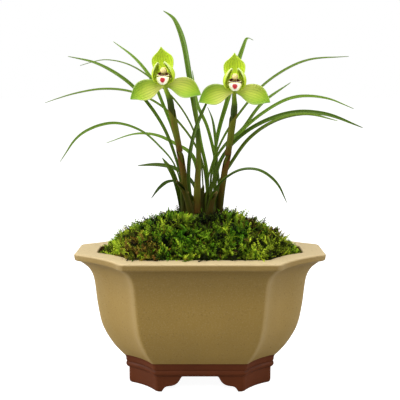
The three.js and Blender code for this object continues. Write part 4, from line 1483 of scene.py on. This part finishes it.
# How much painted light each leaf gets (0 the shaded green, 1 the lit pale green) and how olive each
# leaf is, how broad it is near its foot and near its tip against its blade in the frame, and how far its
# face is turned to the front.
LEAF_LOOKS = {
    "leaf_tall": (0.8, 0.0, 0.9, 1.0, 0.0),
    "leaf_left_back": (1.0, 0.0, 0.5, 0.7, 0.0),
    "leaf_left_long": (0.75, 0.1, 0.48, 0.72, 0.4),
    "leaf_left_thin": (0.6, 0.5, 0.6, 0.7, 0.2),
    "leaf_left_reach": (0.6, 0.45, 0.45, 0.62, 0.5),
    "leaf_left_droop": (0.7, 0.05, 0.6, 0.55, 0.0),
    "leaf_back_arch": (0.85, 0.1, 0.75, 0.8, 0.1),
    "leaf_low_left": (0.15, 0.3, 0.55, 0.9, 0.6),
    "leaf_short": (0.75, 0.4, 1.05, 1.0, 0.2),
    "leaf_front_left": (0.0, 0.15, 0.95, 0.5, 0.0),
    "leaf_cross": (0.05, 0.25, 0.8, 0.85, 0.0),
    "leaf_pale": (1.0, 0.15, 0.6, 0.75, 0.0),
    "leaf_centre": (0.9, 0.1, 0.8, 0.85, 0.0),
    "leaf_slim": (0.5, 0.1, 0.8, 0.85, 0.0),
    "leaf_hook": (1.0, 0.0, 0.25, 1.25, 0.0),
    "leaf_right_high": (0.6, 0.35, 0.45, 0.75, 0.5),
    "leaf_right_mid": (0.6, 0.2, 0.42, 0.9, 0.0),
    "leaf_right_arch": (0.95, 0.1, 0.58, 0.75, 0.0),
    "leaf_right_long": (0.3, 0.1, 0.62, 1.0, 0.0),
    "leaf_right_low": (0.8, 0.55, 1.5, 1.1, 0.4),
    "leaf_front_right": (0.3, 0.1, 1.15, 0.7, 0.3),
}


def blade_lines(node):
    """A CAD leaf's left edge, keel and right edge, root first, as arrays of points."""
    rings = rings_of(node, 6)
    check = rings[len(rings) // 3]
    apart = np.linalg.norm(check[:, None] - check[None], axis=2)
    left = set(range(6))
    pairs = []
    while left:
        i = min(left)
        left.remove(i)
        j = min(left, key=lambda k: apart[i, k])
        left.remove(j)
        pairs.append((i, j))
    centres = [rings[:, pair].mean(axis=1) for pair in pairs]
    spread = [sum(np.linalg.norm(a - b, axis=1).mean() for b in centres) for a in centres]
    keel = centres.pop(int(np.argmin(spread)))
    return centres[0], keel, centres[1]


def level_side(keel, v):
    """The direction across a leaf that is level with the front, at a share v of its length."""
    along = spline(keel, min(1, v + 0.02)) - spline(keel, max(0, v - 0.02))
    return unit(np.cross(along, (0, 1, 0)))


def blade_place(node):
    """Where a leaf's points go: along its blade in the frame, as full and as turned as it should be."""
    left, keel, right = blade_lines(node)
    low_full, high_full, turn = LEAF_LOOKS[node][2:]
    broadest = max(np.linalg.norm(left[k] - keel[k]) for k in range(len(keel)))

    def place(u, v):
        line = left if u < 0 else right
        middle = spline(keel, v)
        edge = spline(line, v) - middle
        side = unit(edge)
        if turn:
            start = spline(line, 0.1) - spline(keel, 0.1)
            hand = 1 if np.dot(level_side(keel, 0.1), start) > 0 else -1
            side = unit(side * (1 - turn) + level_side(keel, v) * hand * turn)
        tip = 1 - max(0.0, (v - 0.62) / 0.38) ** 2.2 * 0.93
        half = np.linalg.norm(edge)
        half += max(0.0, broadest * tip - half) * min(1.0, max(0.0, (v - 0.45) / 0.25))
        half *= low_full + (high_full - low_full) * v
        fold = spline(left, v) + spline(right, v) - 2 * middle
        return Vector(middle + side * half * abs(u) + fold * 0.16 * (abs(u) - u * u))

    return place


class OrchidLeaves(bpy.types.Operator):
    """Grows the grassy leaves along the blades of the frame"""

    bl_idname = "orchid.leaves"
    bl_label = "Leaves"

    def execute(self, context):
        settings = context.scene.orchid_leaf
        material = leaf_material(settings)
        for node in LEAF_NODES:
            tone, olive = LEAF_LOOKS[node][:2]
            blade = sheet_piece(node + "_blade", 6, 56, blade_place(node), settings.thickness)
            # tone is how much painted light the leaf gets
            set_number(blade, "tone", tone)
            set_number(blade, "olive", olive)
            hand_over(blade, "leaf", node, material=material)
        return {"FINISHED"}


# ---- Stems and sheaths -------------------------------------------------------------------------


def tube_piece(name, path, radius, rows=60, squeeze=None):
    """A round stem along a path: radius(v) gives its size, squeeze(angle) flattens its section.

    A grid is rolled up round the path, sewn along its seam and closed at both ends.
    """
    deselect_all()
    bpy.ops.mesh.primitive_grid_add(x_subdivisions=20, y_subdivisions=rows, size=2)
    tube = bpy.context.object
    tube.name = tube.data.name = name
    for vertex in tube.data.vertices:
        angle, v = (vertex.co.x + 1) * math.pi, (vertex.co.y + 1) / 2
        along = Vector(spline(path, min(1, v + 0.01)) - spline(path, max(0, v - 0.01))).normalized()
        across = (Vector((1, 0, 0)) - along * along.x).normalized()
        outward = across * math.cos(angle) + along.cross(across) * math.sin(angle)
        size = radius(v) * (squeeze(angle) if squeeze else 1)
        vertex.co = Vector(spline(path, v)) + outward * size
    edit(tube)
    bpy.ops.mesh.remove_doubles(threshold=0.01 * MM)
    bpy.ops.mesh.fill_holes(sides=0)
    close_edit()
    face_outwards(tube)
    smooth(tube, 50)
    return tube


ANTHER = Vector((0, -6.4, 14.2)) * MM  # the anther cap's middle, from where the sepals meet


def flower_seat(side):
    """Where a flower's sepals meet, from its anther cap's place in the frame."""
    return middle_and_radius("anther_cap_" + side)[0] - ANTHER


# Each bract's radius at its foot and at its mouth, in millimetres.
BRACT_SIZES = {"low": (2.5, 3.1), "high": (2.5, 3.4)}


class OrchidScapes(bpy.types.Operator):
    """Makes the two flower stems, their bracts and the young rolled shoot"""

    bl_idname = "orchid.scapes"
    bl_label = "Stems and sheaths"

    def execute(self, context):
        stem = stem_material("stem", 0.12)
        bracts = {"low": stem_material("bract"), "high": stem_material("top bract")}
        for side in SIDES:
            node = "scape_" + side
            path = rings_of(node, 12).mean(axis=1)
            behind = np.array(flower_seat(side)) + (0, 1 * MM, 2 * MM)
            reach = [path[-1] + (behind - path[-1]) * k / 3 for k in (1, 2, 3)]
            stalk = tube_piece(node + "_stalk", np.concatenate([path, reach]), self.stalk_radius)
            hand_over(stalk, "scape", node, material=stem)
            for part, material in bracts.items():
                sheath = f"scape_sheath_{part}_{side}"
                start, end = (int(np.argmin(np.abs(path[:, 2] - z.z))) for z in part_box(sheath))
                narrow, wide = (size * MM for size in BRACT_SIZES[part])
                route = path[start : end + 1]
                wrap = self.wrap(sheath + "_bract", route, narrow, wide, side == "left")
                hand_over(wrap, "sheath", sheath, material=material)
        self.shoot()
        self.leaf_bases()
        return {"FINISHED"}

    def shoot(self):
        """The young shoot, a rolled leaf narrowing upwards."""
        roll = tube_piece(
            "young_shoot_roll",
            rings_of("young_shoot", 12).mean(axis=1),
            lambda v: (3.6 - 2.3 * v + 0.5 * v * v) * MM,
            squeeze=lambda angle: 0.62 + 0.38 * abs(math.cos(angle)) ** 1.2,
        )
        hand_over(roll, "sheath", "young_shoot", material=stem_material("shoot"))

    def leaf_bases(self):
        """Papery-edged sheaths round the feet of the leaves, two on each pseudobulb."""
        material = stem_material("leaf base")
        upright = Vector((0, 0, 1))
        dice = random.Random(8)
        keels = [blade_lines(node)[1] for node in LEAF_NODES]
        for bulb in BULB_NODES:
            middle, radius = middle_and_radius(bulb)
            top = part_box(bulb)[1].z
            own = [k for k in keels if math.hypot(k[0][0] - middle.x, k[0][1] - middle.y) < radius]
            for number in range(2):
                tall = dice.uniform(15, 30) * MM
                foot, towards = middle.copy(), upright
                if own:
                    keel = own[number % len(own)]
                    level = np.argmin(np.abs(keel[:, 2] - top - tall))
                    towards = Vector(keel[level] - keel[0]).normalized()
                    foot.xy = (middle.xy + Vector(keel[0]).xy) / 2
                steps = ((0, 0), (0.2, 0.13), (0.4, 0.52), (0.4, 0.97))
                path = [foot + (upright * up + towards * on) * tall for up, on in steps]
                name = f"leaf_base_{bulb.split('_')[1]}_{number + 1}"
                size = radius * (0.6 - 0.1 * number)
                wrap = self.wrap(name, path, size, size * 0.55, dice.random() < 0.5)
                hand_over(wrap, "sheath", material=material)

    def stalk_radius(self, v):
        """A stem's radius: even, but swelling as it leaves the top bract."""
        return (1.85 + 1.0 * math.exp(-(((v - 0.73) / 0.06) ** 2))) * MM

    def wrap(self, name, path, narrow, wide, flipped):
        """A bract wrapped round the stem, open along one side and drawn out to a point."""
        opening = 2.1 if flipped else 0.7

        def place(u, v):
            reach = v * (1.0 + 0.12 * (1 - u * u)) if v > 0.5 else v
            centre = Vector(spline(path, min(1, reach)))
            along = Vector(spline(path, 1)) - Vector(spline(path, 0.9))
            centre += along.normalized() * max(0, reach - 1) * 40 * MM
            angle = u * math.pi * (1.02 - 0.72 * max(0, v - 0.75) ** 1.2 / 0.19) + opening
            radius = narrow + (wide - narrow) * (0.2 + 0.8 * v * v - 0.5 * v**8)
            return centre + Vector((math.cos(angle), math.sin(angle), 0)) * radius

        return sheet_piece(name, 14, 26, place, 0.35 * MM)


# ---- Flowers -----------------------------------------------------------------------------------

# The shape of each kind of petal, in millimetres from where the sepals meet: its spine from root to
# tip, which way it faces, half its width along the spine, and how it cups, rolls in and waves.
UPPER_SEPAL = {
    "spine": ((0, 4.6, 4.5), (0, 6.4, 10), (0, 6.4, 16), (0, 5.0, 22), (0, 3.0, 27.3), (0, 1.6, 31.8)),
    "facing": (0, -1, 0),
    "halves": (3.0, 5.2, 7.0, 8.3, 9.1, 9.5, 9.4, 8.0, 4.3, 1.5, 0.08),
    "cup": 0.34,
    "roll": -0.12,
    "ruffle": 0.03,
}
SIDE_SEPAL = {
    "spine": (
        (0.2, 2.2, -0.6), (7, 3.0, -0.6), (13.5, 2.6, -1.6), (20, 1.2, -3.3), (26, -0.8, -5.6),
        (31.3, -3, -8.2),
    ),
    "facing": (0, -1, 0.1),
    "halves": (1.6, 3.0, 5.0, 6.9, 8.3, 9.0, 8.9, 7.8, 5.5, 2.5, 0.1),
    "cup": 0.15,
    "roll": 0.05,
    "ruffle": 0.02,
}
HOOD_PETAL = {
    "spine": (
        (2.4, 1.6, 0.4), (7.4, 1.0, 3.0), (9.5, -1.2, 7.8), (8.6, -4.0, 12.6), (5.8, -6.2, 16.0),
        (2.7, -7.4, 18.6),
    ),
    "facing": (-1, -0.45, 0.0),
    "halves": (1.6, 4.6, 5.9, 5.2, 3.4, 1.4),
    "cup": 0.55,
    "roll": 0.25,
    "ruffle": 0.02,
}
LIP_SIDE_LOBE = {
    "spine": ((4.8, -3.0, 4.2), (4.4, -4.8, 6.6), (3.0, -6.2, 8.4), (1.0, -6.8, 9.2)),
    "facing": (-0.45, -1, 0.2),
    "halves": (1.8, 2.2, 1.9, 0.7),
    "cup": 0.3,
    "roll": 0.0,
    "ruffle": 0.0,
}
LIP_TONGUE = {
    "spine": (
        (0, -2.6, 4.4), (0, -5.6, 6.8), (0, -8.6, 7.4), (0, -10.5, 5.2), (0, -11.3, 2.2),
        (0, -10.9, -0.8),
    ),
    "facing": (0, 0.6, 1),
    "halves": (2.4, 3.6, 4.5, 5.0, 5.3, 5.4, 5.4, 5.2, 4.7, 3.7, 1.5),
    "cup": 0.18,
    "roll": -0.34,
    "ruffle": 0.02,
}
COLUMN_PATH = ((0, 1, 2.6), (0, 0.6, 6), (0, -1.4, 9.4), (0, -4, 11.2))
CAP_MIDDLE = Vector((0, -6.8, 11.5))

FLOWERS = {
    # where it faces (degrees about Z), its lean (about Y), and how far each side sepal hangs
    "left": (-7, -6, (9, 2)),
    "right": (0, 0, (4, 4)),
}


def petal_place(seat, turn, mirror, spine, facing, halves, cup, roll, ruffle):
    """Where the points of a petal go, for a flower whose sepals meet at seat.

    cup lifts the edges towards the side it faces, roll curls them in more near the tip, and
    ruffle waves them.
    """
    rows = [(x * mirror, y, z) for x, y, z in spine]
    widths = [(half,) for half in halves]
    front = Vector((facing[0] * mirror, facing[1], facing[2]))

    def place(u, v):
        along = Vector(spline(rows, min(1, v + 0.01)) - spline(rows, max(0, v - 0.01))).normalized()
        look = (front - along * front.dot(along)).normalized()
        half = max(0.05, float(spline(widths, v)[0]))
        lift = (cup + roll * v) * half * u * u
        lift += ruffle * half * abs(u) ** 3 * math.sin(9 * v + 2.0 * (u > 0))
        point = Vector(spline(rows, v)) + along.cross(look) * half * u + look * lift
        return seat + turn @ point * MM

    return place


class OrchidFlowers(bpy.types.Operator):
    """Opens the two flowers: sepals, petals, lip, column and anther cap"""

    bl_idname = "orchid.flowers"
    bl_label = "Flowers"

    def execute(self, context):
        settings = context.scene.orchid_flower
        thickness = settings.thickness
        finish = self.finishes(settings)
        for side in SIDES:
            facing, lean, hang = FLOWERS[side]
            seat = flower_seat(side)
            turn = Matrix.Rotation(math.radians(facing), 3, "Z")
            tilt = Matrix.Rotation(math.radians(lean), 3, "Y")
            self.upper_sepal(side, seat, tilt, thickness, finish)
            for hand, droop in zip(HANDS, hang):
                self.side_sepal(side, hand, seat, droop, thickness, finish)
                self.hood_petal(side, hand, seat, turn @ tilt, thickness, finish)
                self.side_lobe(side, hand, seat, turn, finish)
            self.tongue(side, seat, turn, thickness, finish)
            self.column(side, seat, turn, finish)
        return {"FINISHED"}

    def finishes(self, settings):
        """The materials of the flowers' parts."""
        crimson, maroon = tuple(settings.crimson), (0.07, 0.006, 0.006)
        lip_spots = [
            ((0.5, 0.3), (0.6, 0.24), (0.4, 0.26, 0.02)),
            ((0.28, 0.39), (0.24, 0.15), maroon),
            ((0.5, 0.43), (0.2, 0.1), maroon),
            ((0.72, 0.39), (0.24, 0.15), maroon),
            ((0.48, 0.74), (0.26, 0.17), crimson),
        ]
        lobe_spots = [
            ((0.35, 0.6), (0.4, 0.3), maroon),
            ((0.75, 0.35), (0.3, 0.22), maroon),
            ((0.5, 0.9), (0.4, 0.12), maroon),
        ]
        column_spots = [
            ((0.25, 0.5), (0.06, 0.2), crimson),
            ((0.6, 0.35), (0.05, 0.15), crimson),
        ]
        return {
            # painted light: the upper sepals' lime is brightened 1.22 times
            "upper": sepal_material(settings, "upper sepal", 0.34, 0.15, 0.0, 1.22),
            "side": sepal_material(settings, "side sepal", 0.9, 0.3, 0.5),
            "petal": petal_material(settings),
            "lip": lip_material(settings, "lip", lip_spots),
            "lobe": lip_material(settings, "lip side lobe", lobe_spots, (0.4, 0.42, 0.04)),
            "column": lip_material(settings, "column", column_spots),
            "cap": cap_material(),
        }

    def upper_sepal(self, side, seat, tilt, thickness, finish):
        """The upright sepal."""
        place = petal_place(seat, tilt, 1, **UPPER_SEPAL)
        sepal = sheet_piece(f"upper_sepal_{side}", 14, 26, place, thickness)
        set_number(sepal, "side", 0.0)
        hand_over(sepal, "sepal", f"dorsal_sepal_{side}", material=finish["upper"])

    def side_sepal(self, side, hand, seat, droop, thickness, finish):
        """A sepal that spreads to one side and hangs a little."""
        swing = Matrix.Rotation(math.radians(HANDS[hand] * droop), 3, "Y")
        place = petal_place(seat, swing, HANDS[hand], **SIDE_SEPAL)
        sepal = sheet_piece(f"side_sepal_{hand}_{side}_sheet", 14, 32, place, thickness)
        set_number(sepal, "side", 1.0)
        hand_over(sepal, "sepal", f"side_sepal_{hand}_{side}", material=finish["side"])

    def hood_petal(self, side, hand, seat, turn, thickness, finish):
        """One of the two petals that hood the column."""
        place = petal_place(seat, turn, HANDS[hand], **HOOD_PETAL)
        petal = sheet_piece(f"hood_petal_{hand}_{side}", 14, 24, place, thickness * 0.9)
        set_number(petal, "hand", HANDS[hand])
        hand_over(petal, "petal", f"petal_{hand}_{side}", material=finish["petal"])

    def side_lobe(self, side, hand, seat, turn, finish):
        """A side lobe of the lip, beside the column."""
        place = petal_place(seat, turn, HANDS[hand], **LIP_SIDE_LOBE)
        lobe = sheet_piece(f"lip_side_lobe_{hand}_{side}", 8, 10, place, 0.45 * MM)
        hand_over(lobe, "lip", material=finish["lobe"])

    def tongue(self, side, seat, turn, thickness, finish):
        """The lip's tongue, which curls forward and down."""
        place = petal_place(seat, turn, 1, **LIP_TONGUE)
        lip = sheet_piece(f"lip_{side}_tongue", 14, 20, place, thickness)
        hand_over(lip, "lip", f"lip_{side}", material=finish["lip"])

    def column(self, side, seat, turn, finish):
        """The arching column and the anther cap at its end."""
        column = tube_piece(
            f"column_{side}_arch",
            [np.array(turn @ Vector(p) * MM + seat) for p in COLUMN_PATH],
            lambda v: (1.9 + 0.7 * v) * MM,
            rows=20,
            squeeze=lambda angle: 1 - 0.18 * abs(math.sin(angle)),
        )
        hand_over(column, "column", f"column_{side}", material=finish["column"])
        deselect_all()
        bpy.ops.mesh.primitive_uv_sphere_add(segments=28, ring_count=18, radius=1)
        cap = bpy.context.object
        cap.name = cap.data.name = f"anther_cap_{side}_dome"
        for vertex in cap.data.vertices:
            x, y, z = vertex.co
            notch = 0.22 * math.exp(-((x / 0.28) ** 2)) * max(0, -y) * (0.4 - z)
            sag = 0.25 * (1 - x * x) * max(0, -z)
            shaped = Vector((x * 3.0, y * 2.5 + notch, z * 2.6 - sag))
            vertex.co = turn @ (shaped + CAP_MIDDLE) * MM + seat
        smooth(cap)
        hand_over(cap, "anther_cap", f"anther_cap_{side}", material=finish["cap"])


# ---- Stage -------------------------------------------------------------------------------------


# Each soft light: where it hangs, what it looks at, its size in metres and its power in watts.
LIGHTS = {
    "top softbox": ((0.0, -0.1, 1.1), (0, 0, 0.15), (0.9, 0.8), 9.5),
    "left softbox": ((-1.35, -0.3, 0.55), (0, 0, 0.17), (0.6, 0.7), 19.5),
    "right softbox": ((1.35, -0.25, 0.55), (0, 0, 0.17), (0.6, 0.7), 10.5),
    "front softbox": ((0.0, -1.1, 0.95), (0, 0, 0.24), (0.8, 0.4), 5),
}


def area_light(name, place, target, size, power):
    """A soft rectangular light that looks at a point."""
    light = bpy.data.lights.new(name, "AREA")
    light.shape = "RECTANGLE"
    light.size, light.size_y = size
    light.energy = power
    lamp = bpy.data.objects.new(name, light)
    lamp.location = place
    lamp.rotation_euler = (Vector(target) - Vector(place)).to_track_quat("-Z", "Y").to_euler()
    bpy.context.scene.collection.objects.link(lamp)


class OrchidStage(bpy.types.Operator):
    """Sets the pale floor, the soft studio light and the camera"""

    bl_idname = "orchid.stage"
    bl_label = "Floor, light and camera"

    def execute(self, context):
        settings = context.scene.orchid_stage
        self.floor(settings)
        self.world(context.scene)
        for name, light in LIGHTS.items():
            area_light(name, *light)
        self.camera(context.scene, settings)
        return {"FINISHED"}

    def floor(self, settings):
        """The pale floor, which looks nearly white and lights nothing."""
        deselect_all()
        bpy.ops.mesh.primitive_plane_add(size=60, location=(0, 0, -0.2 * MM))
        floor = bpy.context.object
        floor.name = "studio_floor"
        material, nodes, shader = new_material("studio floor", Roughness=0.9, Specular_IOR_Level=0.1)
        shader.inputs["Base Color"].default_value = (*settings.floor, 1)
        shader.inputs["Emission Color"].default_value = (1, 1, 1, 1)
        seen = nodes.add("ShaderNodeLightPath").outputs["Is Camera Ray"]
        feed(nodes, shader, Emission_Strength=nodes.math("MULTIPLY", seen, 0.95))
        floor.data.materials.append(material)

    def world(self, scene):
        """A white backdrop and a softer white light from all round."""
        world = bpy.data.worlds.new("studio")
        world.use_nodes = True
        scene.world = world
        tree = world.node_tree
        lighting = tree.nodes["Background"]
        backdrop = tree.nodes.new("ShaderNodeBackground")
        for node, strength in ((lighting, 0.34), (backdrop, 1.0)):
            node.inputs["Color"].default_value = (1, 1, 1, 1)
            node.inputs["Strength"].default_value = strength
        rays = tree.nodes.new("ShaderNodeLightPath")
        mix = tree.nodes.new("ShaderNodeMixShader")
        tree.links.new(rays.outputs["Is Camera Ray"], mix.inputs[0])
        tree.links.new(lighting.outputs[0], mix.inputs[1])
        tree.links.new(backdrop.outputs[0], mix.inputs[2])
        tree.links.new(mix.outputs[0], tree.nodes["World Output"].inputs[0])

    def camera(self, scene, settings):
        """The camera in front, a little above the moss and looking slightly down."""
        camera_data = bpy.data.cameras.new("camera")
        camera_data.lens = settings.lens
        camera_data.sensor_width = 36
        camera_data.clip_start = 0.01
        camera = bpy.data.objects.new("camera", camera_data)
        camera.location = (0, -settings.distance, settings.height)
        camera.rotation_euler = (math.pi / 2 - settings.pitch, 0, 0)
        scene.collection.objects.link(camera)
        scene.camera = camera
        scene.view_settings.view_transform = "Standard"


# ---- Panel and registration --------------------------------------------------------------------

OPERATORS = (OrchidStage, OrchidPot, OrchidSoil, OrchidMoss, OrchidLeaves, OrchidScapes, OrchidFlowers)
SETTINGS = {
    "orchid_pot": OrchidPotSettings,
    "orchid_moss": OrchidMossSettings,
    "orchid_leaf": OrchidLeafSettings,
    "orchid_flower": OrchidFlowerSettings,
    "orchid_stage": OrchidStageSettings,
}


class OrchidPanel(bpy.types.Panel):
    """Lists the orchid's settings and pieces"""

    bl_idname = "VIEW3D_PT_orchid"
    bl_label = "Potted orchid"
    bl_space_type = "VIEW_3D"
    bl_region_type = "UI"
    bl_category = "Orchid"

    def draw(self, context):
        for operator in OPERATORS:
            self.layout.operator(operator.bl_idname)
        for key in SETTINGS:
            group = getattr(context.scene, key)
            box = self.layout.box()
            box.label(text=SETTINGS[key].__doc__)
            for name in group.__annotations__:
                box.prop(group, name)


def register():
    """Registers the settings, operators and panel."""
    for group in SETTINGS.values():
        bpy.utils.register_class(group)
    for key, group in SETTINGS.items():
        setattr(bpy.types.Scene, key, PointerProperty(type=group))
    for operator in OPERATORS:
        bpy.utils.register_class(operator)
    bpy.utils.register_class(OrchidPanel)


def unregister():
    """Takes them all off again."""
    bpy.utils.unregister_class(OrchidPanel)
    for operator in reversed(OPERATORS):
        bpy.utils.unregister_class(operator)
    for key, group in SETTINGS.items():
        delattr(bpy.types.Scene, key)
        bpy.utils.unregister_class(group)


def main():
    """Builds the whole orchid."""
    register()
    for operator in OPERATORS:
        group, call = operator.bl_idname.split(".")
        getattr(getattr(bpy.ops, group), call)()


if __name__ == "__main__":
    main()
